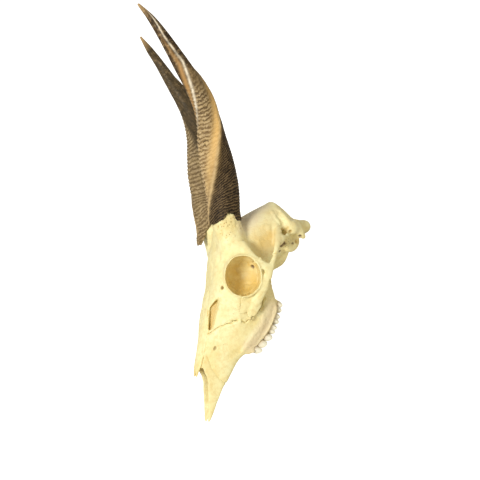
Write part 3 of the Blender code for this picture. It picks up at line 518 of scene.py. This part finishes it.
# The bone's surface: degreased and bleached, ivory with warm yellow shadows, and faintly pitted. The
# marks that the carving left on each bone tint it: dusky, golden, brown, or open and porous. The brown in
# the holes and under the eye socket's roof, and the dusk on the jaw's underside and in its rear hollow, are
# painted shade.
IVORY = (0.87, 0.79, 0.42, 1)
WARM_IVORY = (0.83, 0.68, 0.29, 1)
OCHRE = (0.76, 0.58, 0.24, 1)
PORE_BROWN = (0.50, 0.29, 0.08, 1)
PIT_TAN = (0.66, 0.47, 0.20, 1)
BONE_TINGES = (
    ("dusk", (0.72, 0.60, 0.43, 1), 0.8),
    ("golden", (0.71, 0.50, 0.14, 1), 0.9),
    ("seam", (0.50, 0.29, 0.09, 1), 0.9),
    ("brown", (0.13, 0.055, 0.015, 1), 1.0),
)


def new_group(name, sockets_in, sockets_out):
    """A shader node group with named inputs and outputs, and its two end nodes."""
    group = bpy.data.node_groups.new(name, "ShaderNodeTree")
    for label, kind, value in sockets_in:
        socket = group.interface.new_socket(label, in_out="INPUT", socket_type="NodeSocket" + kind)
        if value is not None:
            socket.default_value = value
    for label, kind in sockets_out:
        group.interface.new_socket(label, in_out="OUTPUT", socket_type="NodeSocket" + kind)
    return group, group.nodes.new("NodeGroupInput"), group.nodes.new("NodeGroupOutput")


def wire(tree, kind, plugs=(), **settings):
    """Adds a node, sets it up, and plugs values or other nodes' outputs into its inputs."""
    node = tree.nodes.new("ShaderNode" + kind)
    for key, value in settings.items():
        setattr(node, key, value)
    for name, source in dict(plugs).items():
        socket = node.inputs[name]
        if isinstance(source, bpy.types.NodeSocket):
            tree.links.new(source, socket)
        else:
            socket.default_value = source
    return node


def blended(tree, amount, first, second):
    """A colour between two, by amount."""
    node = wire(tree, "Mix", data_type="RGBA")
    for index, source in ((0, amount), (6, first), (7, second)):
        if isinstance(source, bpy.types.NodeSocket):
            tree.links.new(source, node.inputs[index])
        else:
            node.inputs[index].default_value = source
    return node.outputs[2]


def mark(tree, label):
    """A number that the piece carries at each point."""
    return wire(tree, "Attribute", attribute_name=label).outputs["Fac"]


def ranged(tree, value, low, high, first=0.0, last=1.0):
    """The value's range from low to high, stretched to run from first to last."""
    return wire(
        tree, "MapRange", {"Value": value, "From Min": low, "From Max": high, "To Min": first, "To Max": last}
    ).outputs[0]


def times(tree, a, b):
    """The product of two numbers, kept between 0 and 1."""
    return wire(tree, "Math", {0: a, 1: b}, operation="MULTIPLY", use_clamp=True).outputs[0]


pitting, enter, leave = new_group(
    "pitting",
    (("Vector", "Vector", None), ("Size", "Float", 900.0), ("Depth", "Float", 0.5)),
    (("Height", "Float"), ("Pits", "Float"), ("Cloud", "Float"), ("Mottle", "Float")),
)
cloud = wire(
    pitting, "TexNoise", {"Vector": enter.outputs["Vector"], "Scale": 55.0, "Detail": 4.0, "Roughness": 0.6}
)
grain = wire(
    pitting, "TexNoise", {"Vector": enter.outputs["Vector"], "Scale": enter.outputs["Size"], "Detail": 3.0}
)
cells = wire(
    pitting, "TexVoronoi", {"Vector": enter.outputs["Vector"], "Scale": enter.outputs["Size"]}
)
pits = ranged(pitting, cells.outputs["Distance"], 0.05, 0.34, 1.0, 0.0)
sunk = times(pitting, pits, enter.outputs["Depth"])
pitted_height = wire(pitting, "Math", {0: grain.outputs["Fac"], 1: sunk}, operation="SUBTRACT")
pitting.links.new(pitted_height.outputs[0], leave.inputs["Height"])
pitting.links.new(pits, leave.inputs["Pits"])
pitting.links.new(cloud.outputs["Fac"], leave.inputs["Cloud"])
mottle = wire(
    pitting, "TexNoise", {"Vector": enter.outputs["Vector"], "Scale": 210.0, "Detail": 5.0, "Roughness": 0.7}
)
pitting.links.new(mottle.outputs["Fac"], leave.inputs["Mottle"])


def surface(name, roughness):
    """A new material, with its nodes and its shader."""
    made = bpy.data.materials.new(name)
    made.use_nodes = True
    shader = made.node_tree.nodes["Principled BSDF"]
    shader.inputs["Roughness"].default_value = roughness
    return made, made.node_tree, shader


def pitted(tree, size, depth):
    """The shared pitting on the object's own coordinates."""
    place = wire(tree, "TexCoord").outputs["Object"]
    node = tree.nodes.new("ShaderNodeGroup")
    node.node_tree = pitting
    tree.links.new(place, node.inputs["Vector"])
    node.inputs["Size"].default_value = size
    node.inputs["Depth"].default_value = depth
    return node


bone_finish, tree, shader = surface("dry_bone", 0.5)
skin = pitted(tree, 850, 0.6)
holes = pitted(tree, 430, 1.0)
cloud = skin.outputs["Cloud"]
tint = blended(tree, ranged(tree, cloud, 0.38, 0.66, 0.0, 0.7), IVORY, WARM_IVORY)
tint = blended(tree, ranged(tree, skin.outputs["Mottle"], 0.46, 0.68, 0.0, 0.75), tint, OCHRE)
patchy = ranged(tree, cloud, 0.3, 0.6, 0.8, 1.0)
for tinge, colour, share in BONE_TINGES:
    amount = times(tree, times(tree, mark(tree, tinge), share), patchy)
    tint = blended(tree, amount, tint, colour)
open_pores = times(tree, mark(tree, "porous"), ranged(tree, holes.outputs["Pits"], 0.45, 0.9))
tint = blended(tree, times(tree, open_pores, 0.85), tint, PORE_BROWN)
tint = blended(tree, times(tree, skin.outputs["Pits"], 0.18), tint, PIT_TAN)
tree.links.new(tint, shader.inputs["Base Color"])
sunken = wire(tree, "Math", {0: 1.0, 1: open_pores}, operation="SUBTRACT").outputs[0]
relief = wire(tree, "Bump", {"Height": sunken, "Strength": 0.9, "Distance": 0.0012})
relief = wire(
    tree, "Bump",
    {"Height": skin.outputs["Height"], "Strength": 0.55, "Distance": 0.0005, "Normal": relief.outputs[0]},
)
tree.links.new(relief.outputs[0], shader.inputs["Normal"])
for node, piece in bone_pieces.items():
    piece.data.materials.append(bone_finish)
    for face in piece.data.polygons:
        face.use_smooth = True
    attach(piece, "root")
    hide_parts(node)
for piece in inner_bones:
    piece.data.materials.append(bone_finish)
    for face in piece.data.polygons:
        face.use_smooth = True
    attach(piece, "root")


# The cheek teeth, three premolars and three two-lobed molars on each side. Their outer walls are ribbed
# columns that end in pointed cusps, grey-white and glossy, brown at the neck and in the clefts.
CHEEK_TEETH = (
    (7.4, 3.6, 1), (8.6, 4.4, 1), (8.4, 5.0, 1), (10.8, 5.6, 2), (12.0, 6.0, 2), (12.4, 5.8, 2),
)
ROW_FRONT = -54.5
ROW_SIDE = ((-55, 22.0), (-40, 24.6), (-20, 26.2), (6, 26.0))
ROW_CUSPS = ((-55, 2.8), (-50, 0.2), (-42, -1.1), (-34, -3.8), (-20, -3.9), (-12, -2.7), (-6, -1.7), (6, 0.8))
ROW_NECKS = ((-56, 11.8), (-46, 7.4), (-38, 5.0), (-28, 2.8), (-8, 3.8), (7, 7.0))
TOOTH_FILL = 0.99
CLEFT_RISE = 1.7
ENAMEL_PALE = (0.90, 0.87, 0.72, 1)
ENAMEL_WARM = (0.80, 0.72, 0.48, 1)
NECK_BROWN = (0.52, 0.33, 0.12, 1)


def tooth_shape(side, start, length, half_width, lobes):
    """Points, faces and stains of one tooth, as rings from inside the bone down over its cusps."""
    sides = 20 * lobes + 16
    round_it = np.linspace(0, 2 * math.pi, sides, endpoint=False)
    along = np.sign(np.cos(round_it)) * np.abs(np.cos(round_it)) ** 0.75 * 0.5
    over = np.sign(np.sin(round_it)) * np.abs(np.sin(round_it)) ** 0.75
    lobe = np.abs(np.sin(math.pi * lobes * (along + 0.5))) ** 0.7
    rib = np.exp(-(((along + 0.5) * lobes % 1 - 0.5) / 0.10) ** 2)
    bulge = np.where(over > 0, 0.60 + 0.34 * lobe + 0.10 * rib, 0.66 + 0.30 * lobe)
    y = start + length / 2 + along * length * TOOTH_FILL
    neck = np.interp(y, *zip(*ROW_NECKS))
    cusp = np.interp(y, *zip(*ROW_CUSPS)) + (1 - lobe) * CLEFT_RISE + np.where(over > 0, 0, 0.9)
    outer_side = np.interp(y, *zip(*ROW_SIDE))
    belts = (
        (neck + 3.5, 0.80, 0.4), (neck + 0.9, 0.86, 1.0), (neck + 0.2, 0.90, 1.0), (neck - 0.9, 0.99, 0.5),
        (neck * 0.5 + cusp * 0.5, 1.02, 0.0), (neck * 0.2 + cusp * 0.8, 0.98, 0.0), (cusp + 0.25, 0.90, 0.0),
        (cusp, 0.80, 0.0), (cusp + 0.8, 0.60, 0.2), (cusp + 1.8, 0.38, 0.9), (cusp + 1.5, 0.15, 0.5),
    )
    rings = []
    tinges = []
    for z, scale, tinge in belts:
        x = outer_side - half_width + over * bulge * half_width * scale
        ring_y = start + length / 2 + along * length * TOOTH_FILL * (0.35 + 0.65 * scale)
        rings.append(np.column_stack([x * side, ring_y, z]))
        tinges.append(np.full(sides, tinge) + (1 - lobe) * 0.3)
    count = len(rings)
    faces = []
    for i in range(count - 1):
        for k in range(sides):
            here, there = i * sides + k, i * sides + (k + 1) % sides
            faces.append((here, there, there + sides, here + sides))
    faces.append(tuple(range(sides)))
    faces.append(tuple(range((count - 1) * sides, count * sides)))
    return np.concatenate(rings), faces, np.concatenate(tinges)


enamel, tree, shader = surface("tooth_enamel", 0.28)
dirt = pitted(tree, 700, 0.3)
tint = blended(tree, ranged(tree, dirt.outputs["Cloud"], 0.35, 0.65, 0.0, 0.5), ENAMEL_PALE, ENAMEL_WARM)
tint = blended(tree, times(tree, mark(tree, "neck_stain"), 0.6), tint, NECK_BROWN)
tree.links.new(tint, shader.inputs["Base Color"])
relief = wire(tree, "Bump", {"Height": dirt.outputs["Height"], "Strength": 0.2, "Distance": 0.0003})
tree.links.new(relief.outputs[0], shader.inputs["Normal"])
for side, word in ((1, "left"), (-1, "right")):
    start = ROW_FRONT
    places, faces, tinges = [], [], []
    for length, half_width, lobes in CHEEK_TEETH:
        spots, quads, marks = tooth_shape(side, start, length, half_width, lobes)
        begun = sum(len(p) for p in places)
        faces += [tuple(index + begun for index in quad) for quad in quads]
        places.append(spots)
        tinges.append(marks)
        start += length
    mesh = bpy.data.meshes.new("cheek_teeth_" + word)
    points = np.concatenate(places)
    mesh.from_pydata([tuple(p) for p in points], [], faces)
    row = bpy.data.objects.new("cheek_teeth_" + word, mesh)
    bpy.context.scene.collection.objects.link(row)
    write_points(row, points)
    neck_stain = mesh.attributes.new("neck_stain", "FLOAT", "POINT")
    neck_stain.data.foreach_set("value", np.clip(np.concatenate(tinges), 0, 1))
    bpy.context.view_layer.objects.active = row
    row.select_set(True)
    bpy.ops.object.mode_set(mode="EDIT")
    bpy.ops.mesh.select_all(action="SELECT")
    bpy.ops.mesh.normals_make_consistent(inside=False)
    bpy.ops.object.mode_set(mode="OBJECT")
    row.select_set(False)
    finish_with(row, "SUBSURF", levels=1, render_levels=1)
    row.data.materials.append(enamel)
    for face in row.data.polygons:
        face.use_smooth = True
    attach(row, "root")


# The horn sheaths. Each is a hollow cone of horn that grew over a bone core, keeled, wound once round
# and ringed with growth ridges, with a ragged lower edge where it has shrunk away from the bone.
HORN_STUMP = Vector((24.5, 56, 91))
STUMP_LEAN = math.radians(41)
LEFT_HORN = (
    ((20.5, 37, 76.5), 15.4, 15.4),
    ((24.5, 56, 91), 16.4, 16.8),
    ((28.5, 80.3, 106.4), 16.6, 18.0),
    ((33, 101.7, 123.1), 16.0, 17.6),
    ((38, 119.1, 137.8), 14.8, 15.6),
    ((42.5, 135.4, 150.2), 13.2, 13.2),
    ((46.5, 149.1, 163.8), 11.8, 11.6),
    ((50, 159.7, 178.5), 10.6, 10.4),
    ((52.5, 169.3, 195.3), 9.3, 9.2),
    ((54, 180.9, 214.1), 7.2, 7.1),
    ((53.5, 192.7, 232.6), 5.5, 5.3),
    ((52, 202.1, 248.8), 3.8, 3.7),
    ((50, 209.3, 265.0), 1.1, 1.1),
)
RIGHT_HORN = (
    ((20.7, 36.4, 80.1), 14.6, 23.0),
    ((24.5, 55.5, 92), 15.4, 16.2),
    ((28.3, 78.7, 106.3), 15.8, 17.0),
    ((32.5, 100.3, 119.5), 15.2, 16.9),
    ((37.2, 119, 129.3), 14.2, 15.0),
    ((41.4, 136, 138.2), 13.0, 13.0),
    ((45.2, 150.8, 148.1), 11.8, 11.6),
    ((48.5, 162.9, 159.2), 10.4, 10.2),
    ((50.8, 174.2, 172.3), 9.0, 9.0),
    ((52.2, 185.7, 191.2), 7.25, 7.2),
    ((51.8, 197.2, 210), 5.2, 5.0),
    ((50.3, 206.1, 227), 3.7, 3.6),
    ((48.5, 214.0, 242.2), 1.0, 1.0),
)
HORN_TURN = math.radians(338)
HORN_TURN_ROOT = math.radians(-28)
LEFT_EDGE = (
    (-40, -10), (-19, -2.5), (-11, 0.4), (-6, 3.4), (-2, 9.8), (1, 7.2), (5.5, 9.0), (8, 3.0), (11, -0.5),
    (16.5, -2.5), (19, -1), (40, -4),
)
RIGHT_EDGE = (
    (-40, -24), (-22.97, -22.4), (-22.5, -18.8), (-21.4, -15), (-19.5, -10), (-16.5, -6.5), (-12, -3.2),
    (-6, 1.5), (-1, 5), (4, 4), (9, 0), (18, -2), (40, -4),
)
LEFT_FRONT_REACH = 18.5
RIGHT_FRONT_REACH = 23.0
BACK_REACH = 16.8
ROOT_PLUG = 9.0
HORN_RINGS = 540
HORN_SIDES = 170
RING_SPACING = 4.3
FAN_SPACING = 3.1
# Where the painted highlight lies: its heights up the horn, and its turn round the horn at each height.
HIGHLIGHT_UP = (0.45, 0.70, 0.83, 1.0)
HIGHLIGHT_TURN = (-2.1, -2.1, -3.3, -3.6)


def horn_spline(values, places):
    """Values at the given places, 0 to 1, on a smooth curve through the stations."""
    values = np.array(values, float)
    last = len(values) - 1
    slopes = np.empty_like(values)
    slopes[1:-1] = (values[2:] - values[:-2]) / 2
    slopes[0] = values[1] - values[0]
    slopes[-1] = values[-1] - values[-2]
    spot = places * last
    k = np.minimum(spot.astype(int), last - 1)
    s = (spot - k)[:, None]
    return (
        values[k] * (2 * s**3 - 3 * s**2 + 1)
        + slopes[k] * (s**3 - 2 * s**2 + s)
        + values[k + 1] * (3 * s**2 - 2 * s**3)
        + slopes[k + 1] * (s**3 - s**2)
    )


def ripple(phase):
    """A ridge a turn, with a steep side and a long one, from 0 to 1."""
    part = phase - np.floor(phase)
    return np.where(part < 0.68, part / 0.68, (1 - part) / 0.32) ** 1.4


def round_from(angle, middle):
    """The angle's distance from the middle one, from minus half a turn to half a turn."""
    return (angle - middle + math.pi) % (2 * math.pi) - math.pi


def bump_at(value, middle, width):
    """1 at the middle, falling away on both sides."""
    return np.exp(-(((value - middle) / width) ** 2))


def horn_sheath(name, side, stations, edge, front_reach, seed):
    """Builds the sheath as a tube whose lower edge follows the ragged line, with its ridges in relief."""
    rings = HORN_RINGS
    sides = HORN_SIDES
    even = np.linspace(0, 1, 2400)
    line = horn_spline([s[0] for s in stations], even)
    half = horn_spline([s[1:] for s in stations], even)
    run = np.concatenate(([0], np.cumsum(np.linalg.norm(np.diff(line, axis=0), axis=1))))
    total = run[-1]
    stump = run[np.argmin(np.linalg.norm(line - np.array(HORN_STUMP), axis=1))]
    face = np.linspace(0, 2 * math.pi, sides, endpoint=False)
    root_angle = face + HORN_TURN_ROOT + HORN_TURN * stump / total
    root_back = -np.cos(root_angle) * np.where(np.cos(root_angle) > 0, front_reach, BACK_REACH)
    tears = np.interp(root_back, *zip(*edge))
    spots = np.column_stack([np.cos(face) * 16, np.sin(face) * 16, np.full(sides, seed * 5.0)])
    tears = tears + uneven(spots, 3.1, seed) * 1.1 + uneven(spots, 1.2, seed + 1) * 0.8
    tears = np.maximum(tears, 0.3 - stump)
    share = np.linspace(0, 1, rings)[:, None]
    s = stump + tears + (total - stump - tears) * share
    face = np.broadcast_to(face, s.shape)
    middle = np.stack([np.interp(s, run, line[:, i]) for i in range(3)], axis=-1)
    wide = np.interp(s, run, half[:, 0])
    deep = np.interp(s, run, half[:, 1])
    way = np.gradient(line, axis=0)
    along = np.stack([np.interp(s, run, way[:, i]) for i in range(3)], axis=-1)
    along /= np.linalg.norm(along, axis=-1)[..., None]
    front = np.array((0, 0, 1)) - along * along[..., 2:3]
    front /= np.linalg.norm(front, axis=-1)[..., None]
    outer = np.cross(along, front)
    outer *= np.sign(outer[..., :1])
    angle = face + HORN_TURN_ROOT + HORN_TURN * s / total
    apart = (face + math.pi) % (2 * math.pi) - math.pi
    opposite = math.pi - np.abs(apart)
    up = (s - stump) / (total - stump)
    keel = bump_at(apart, 0, 0.17)
    second = bump_at(opposite, 0, 0.26)
    lift = 1 + 0.17 * bump_at(apart, 0, 0.26) + 0.10 * second
    lift *= 0.96 - 0.04 * np.cos(2 * face)
    straight = np.stack([np.cos(face) * wide, np.sin(face) * wide, s], axis=-1).reshape(-1, 3)
    shake = uneven(straight * (1, 1, 0.5), 7.0, seed + 2) * 0.5 + uneven(straight, 2.6, seed + 3) * 0.2
    shake = shake.reshape(s.shape)
    coarse = uneven(straight * (1, 1, 0.6), 11.0, seed + 7).reshape(s.shape)
    is_front = 1 / (1 + np.exp(np.clip(apart * 16, -30, 30)))
    front_face = is_front * np.clip(opposite / 0.4, 0, 1)
    rear_face = (1 - is_front) * np.clip(opposite / 0.3, 0, 1)
    across = (apart + math.pi / 2) / (math.pi / 2)
    ringed = np.clip((up + 0.14) / 0.03, 0, 1) * np.clip((0.64 + 0.05 * coarse - up) / 0.12, 0, 1)
    fanned = np.clip((0.50 - up) / 0.16, 0, 1)
    low = np.clip(1 - (up - 0.04) / 0.10, 0, 1)
    away = apart * wide
    bowl = 5.0 * (across + 0.1) ** 2
    ring_phase = (s - bowl + low * 0.5 * away) / RING_SPACING + coarse * (0.30 + 0.8 * low) + shake * 0.45
    fan_phase = (s - 1.05 * away + 0.016 * away**2) / FAN_SPACING + coarse * 0.35 + shake * 0.45
    stacked = np.clip((0.80 + 0.5 * low - across) / 0.35, 0.25, 1)
    relief = front_face * ringed * stacked * (ripple(ring_phase) - 0.5) * 0.85
    relief += rear_face * fanned * (ripple(fan_phase) - 0.5) * 0.35
    relief += keel * ringed * uneven(straight, 2.4, seed + 5).reshape(s.shape) * 0.45
    relief += uneven(straight * (1, 1, 0.25), 1.6, seed + 6).reshape(s.shape) * 0.12
    relief *= np.clip(wide / 9, 0.15, 1)
    a = np.cos(angle) * (deep * lift + relief)
    b = np.sin(angle) * (wide * lift + relief)
    points = (middle + front * a[..., None] + outer * b[..., None]).reshape(-1, 3) * (side, 1, 1)
    quads = []
    for i in range(rings - 1):
        for k in range(sides):
            here, there = i * sides + k, i * sides + (k + 1) % sides
            quads.append((here, there, there + sides, here + sides))
    quads.append(tuple(range((rings - 1) * sides, rings * sides)))
    mesh = bpy.data.meshes.new(name)
    mesh.from_pydata([tuple(p) for p in points], [], quads)
    horn = bpy.data.objects.new(name, mesh)
    bpy.context.scene.collection.objects.link(horn)
    write_points(horn, points)
    # The sheath's colour marks. The cream streak along the second ridge is a painted highlight, weaker on the
    # far horn. The keel's glow and the pale face are also fainter there, and the amber strip lies beside the
    # streak.
    high = np.clip((up - 0.38) / 0.14, 0, 1)
    near_horn_share = 0.35 if side < 0 else 1.0
    highlight_at = np.interp(up, HIGHLIGHT_UP, HIGHLIGHT_TURN)
    keel_run = np.clip((up + 0.1) / 0.1, 0.3, 1) * np.clip((0.72 - up) / 0.2, 0, 1)
    highlight_run = high * np.clip((0.99 - up) / 0.1, 0, 1) * near_horn_share
    amber_run = high * np.clip((0.88 - up) / 0.2, 0, 1) * (side > 0)
    marks = {
        "keel": bump_at(apart, 0, 0.10) * keel_run,
        "keel_glow": bump_at(apart, -0.22, 0.40) * bump_at(up, 0.40, 0.19) * near_horn_share,
        "painted_highlight": bump_at(round_from(apart, highlight_at), 0, 0.15) * highlight_run,
        "amber": bump_at(round_from(apart, highlight_at - 0.55), 0, 0.28) * amber_run,
        "pale_face": front_face * np.clip(1.6 - up * 2.2, 0.0, 1) * (0.5 + 0.5 * near_horn_share),
        "ring_phase": ring_phase,
        "fan_phase": fan_phase,
        "ring_face": front_face * ringed * stacked * (0.55 + 0.45 * (side > 0)),
        "fan_face": rear_face * fanned,
        "up": up,
        "worn": np.full(s.shape, 1.0 if side < 0 else 0.0),
    }
    for label, values in marks.items():
        mesh.attributes.new(label, "FLOAT", "POINT").data.foreach_set("value", values.reshape(-1))
    unwound = mesh.attributes.new("straight", "FLOAT_VECTOR", "POINT")
    unwound.data.foreach_set("vector", (straight * MM).reshape(-1))
    return horn


def close_root(horn, side, depth):
    """Turns the sheath's open lower edge in and up, as its thin wall, and closes it out of sight."""
    bpy.context.view_layer.objects.active = horn
    horn.select_set(True)
    bpy.ops.object.mode_set(mode="EDIT")
    bpy.ops.mesh.select_mode(type="EDGE")
    bpy.ops.mesh.select_all(action="DESELECT")
    bpy.ops.mesh.select_non_manifold()
    middle = SKULL_TO_FLOOR @ Vector((side * HORN_STUMP.x, HORN_STUMP.y, HORN_STUMP.z))
    rise = SKULL_TO_FLOOR.to_3x3() @ Vector((0, math.cos(STUMP_LEAN), math.sin(STUMP_LEAN)))
    for shrink, lift in ((0.9, 0.0), (0.93, 3.0), (0.6, depth)):
        bpy.ops.mesh.extrude_region_move(TRANSFORM_OT_translate={"value": rise * lift})
        bpy.ops.transform.resize(value=(shrink, shrink, shrink), center_override=middle + rise * lift)
    bpy.ops.mesh.fill()
    bpy.ops.mesh.select_all(action="SELECT")
    bpy.ops.mesh.normals_make_consistent(inside=False)
    bpy.ops.object.mode_set(mode="OBJECT")
    horn.select_set(False)


def horn_noise(tree, place, scale, detail, roughness):
    """Noise over the horn, by its place on the straightened sheath."""
    values = {"Vector": place, "Scale": scale, "Detail": detail, "Roughness": roughness}
    return wire(tree, "TexNoise", values).outputs["Fac"]


def ridged(tree, phase, shake, face):
    """Ridges at each whole number of the phase, 0 to 1, and the grooves between, both on the face."""
    bend = ranged(tree, shake, 0.3, 0.7, -0.42, 0.42)
    ragged = wire(tree, "Math", {0: mark(tree, phase), 1: bend}).outputs[0]
    height = wire(tree, "Math", {0: ragged, 1: 0.5}, operation="PINGPONG").outputs[0]
    there = mark(tree, face)
    crests = times(tree, ranged(tree, height, 0.22, 0.42), there)
    grooves = times(tree, ranged(tree, height, 0.20, 0.04), there)
    return crests, grooves


HORN_BLACK = (0.011, 0.006, 0.003, 1)
HORN_BROWN = (0.062, 0.036, 0.014, 1)
FACE_TAN = (0.29, 0.18, 0.075, 1)
FACE_PALE = (0.57, 0.39, 0.165, 1)
FLECK_TAN = (0.40, 0.27, 0.13, 1)
KEEL_PALE = (0.62, 0.44, 0.21, 1)
HIGHLIGHT_CREAM = (0.80, 0.70, 0.52, 1)
FIBRE_TAN = (0.34, 0.23, 0.12, 1)
TIP_TAN = (0.50, 0.32, 0.14, 1)
horn_finish, tree, shader = surface("horn", 0.5)
shader.inputs["Specular IOR Level"].default_value = 0.12
fibre_place = wire(tree, "Attribute", attribute_name="straight").outputs["Vector"]
fibre_map = wire(tree, "Mapping", {"Vector": fibre_place, "Scale": (1.0, 1.0, 0.12)}).outputs[0]
fibres = horn_noise(tree, fibre_map, 900.0, 5.0, 0.65)
clouds = horn_noise(tree, fibre_place, 150.0, 6.0, 0.65)
patches = ranged(tree, clouds, 0.38, 0.62)
broken = horn_noise(tree, fibre_place, 260.0, 4.0, 0.7)
ring_crests, ring_grooves = ridged(tree, "ring_phase", broken, "ring_face")
fan_crests, fan_grooves = ridged(tree, "fan_phase", broken, "fan_face")
worn_away = ranged(tree, clouds, 0.34, 0.56, 0.3, 1.0)
ring_crests = times(tree, ring_crests, ranged(tree, broken, 0.34, 0.58, 0.25, 1.0))
ring_grooves = times(tree, ring_grooves, worn_away)
fan_crests = times(tree, fan_crests, worn_away)
tint = blended(tree, patches, HORN_BLACK, HORN_BROWN)
pale = blended(tree, patches, FACE_TAN, FACE_PALE)
tint = blended(tree, mark(tree, "pale_face"), tint, pale)
for amount, share, colour in (
    (mark(tree, "worn"), 0.4, (0.105, 0.080, 0.040, 1)),
    (mark(tree, "keel_glow"), 0.85, (0.78, 0.48, 0.16, 1)),
    (ring_crests, 0.8, (0.66, 0.50, 0.28, 1)),
    (ring_grooves, 0.95, (0.040, 0.022, 0.010, 1)),
    (fan_crests, 0.65, (0.23, 0.155, 0.075, 1)),
    (fan_grooves, 0.95, (0.007, 0.004, 0.002, 1)),
    (mark(tree, "amber"), 0.75, (0.50, 0.27, 0.085, 1)),
):
    tint = blended(tree, times(tree, amount, share), tint, colour)
smooth_horn = ranged(tree, mark(tree, "up"), 0.52, 0.68, 0.0, 1.0)
flecks = times(tree, smooth_horn, ranged(tree, broken, 0.50, 0.66, 0.0, 0.75))
flecks = times(tree, flecks, ranged(tree, mark(tree, "worn"), 0, 1, 1.0, 0.45))
tint = blended(tree, flecks, tint, FLECK_TAN)
keel_wear = times(tree, mark(tree, "keel"), ranged(tree, clouds, 0.3, 0.6, 0.2, 0.9))
tint = blended(tree, keel_wear, tint, KEEL_PALE)
# Painted highlight: a cream streak along the second ridge, in patches.
highlight_patches = times(tree, mark(tree, "painted_highlight"), ranged(tree, clouds, 0.35, 0.55, 0.35, 1.0))
tint = blended(tree, highlight_patches, tint, HIGHLIGHT_CREAM)
tint = blended(tree, ranged(tree, fibres, 0.52, 0.74, 0.0, 0.3), tint, FIBRE_TAN)
tint = blended(tree, ranged(tree, mark(tree, "up"), 0.92, 0.99, 0.0, 0.75), tint, TIP_TAN)
tree.links.new(tint, shader.inputs["Base Color"])
tree.links.new(ranged(tree, fibres, 0.3, 0.7, 0.42, 0.62), shader.inputs["Roughness"])
height = wire(tree, "Math", {0: ring_crests, 1: fan_crests}).outputs[0]
relief = wire(tree, "Bump", {"Height": height, "Strength": 0.6, "Distance": 0.0006})
relief = wire(
    tree, "Bump", {"Height": fibres, "Strength": 0.4, "Distance": 0.0004, "Normal": relief.outputs[0]}
)
tree.links.new(relief.outputs[0], shader.inputs["Normal"])

for name, node, side, stations, edge, front_reach, seed in (
    ("horn_sheath_left", "horn_left", 1, LEFT_HORN, LEFT_EDGE, LEFT_FRONT_REACH, 3),
    ("horn_sheath_right", "horn_right", -1, RIGHT_HORN, RIGHT_EDGE, RIGHT_FRONT_REACH, 18),
):
    sheath = horn_sheath(name, side, stations, edge, front_reach, seed)
    close_root(sheath, side, ROOT_PLUG)
    for face in sheath.data.polygons:
        face.use_smooth = True
    sheath.data.materials.append(horn_finish)
    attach(sheath, "root")
    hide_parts(node)


# The floor, the light and the camera. The skull lies upright on a white floor, and the camera looks
# down on it rolled over, as the photograph does, with the muzzle towards the bottom of the picture.
FLOOR_SIZE = 60
WINDOW_PLACE = Vector((1.0, -0.5, 1.2))
WINDOW_AIM = Vector((0, 0, 0.08))
WINDOW_SIZE = 0.5
WINDOW_POWER = 21
CAMERA_PLACE = Vector((1.11388, -0.21854, 0.33636))
CAMERA_LENS = 83.74
LOOK = Vector((-0.95308, 0.19347, -0.23283)).normalized()
PHOTO_UP = Vector((0.09092, 0.91655, 0.38944))
bpy.ops.mesh.primitive_plane_add(size=FLOOR_SIZE, location=(0, 0, -0.0002))
floor = bpy.context.active_object
floor.name = "floor"
floor_finish, tree, shader = surface("white_floor", 0.9)
shader.inputs["Base Color"].default_value = (0.48, 0.45, 0.36, 1)
shader.inputs["Specular IOR Level"].default_value = 0.0
shader.inputs["Emission Color"].default_value = (1, 1, 1, 1)
seen = wire(tree, "LightPath").outputs["Is Camera Ray"]
tree.links.new(ranged(tree, seen, 0, 1, 0.22, 1.1), shader.inputs["Emission Strength"])
floor.data.materials.append(floor_finish)

world = bpy.data.worlds.new("white_room")
world.use_nodes = True
room = world.node_tree
seen = wire(room, "LightPath").outputs["Is Camera Ray"]
room.links.new(ranged(room, seen, 0, 1, 0.5, 1.1), room.nodes["Background"].inputs["Strength"])
room.nodes["Background"].inputs["Color"].default_value = (1, 1, 1, 1)
bpy.context.scene.world = world
bpy.context.scene.view_settings.view_transform = "Standard"

bpy.ops.object.light_add(type="AREA", location=WINDOW_PLACE)
lamp = bpy.context.active_object
lamp.name = "window"
lamp.data.size = WINDOW_SIZE
lamp.data.energy = WINDOW_POWER
lamp.rotation_euler = (WINDOW_AIM - WINDOW_PLACE).to_track_quat("-Z", "Y").to_euler()

across = LOOK.cross(PHOTO_UP).normalized()
upward = across.cross(LOOK)
camera_data = bpy.data.cameras.new("camera")
camera_data.sensor_width = 36
camera_data.lens = CAMERA_LENS
camera_data.clip_start = 0.01
camera = bpy.data.objects.new("camera", camera_data)
bpy.context.scene.collection.objects.link(camera)
aim = Matrix((across, upward, -LOOK)).transposed().to_4x4()
aim.translation = CAMERA_PLACE
camera.matrix_world = aim
bpy.context.scene.camera = camera
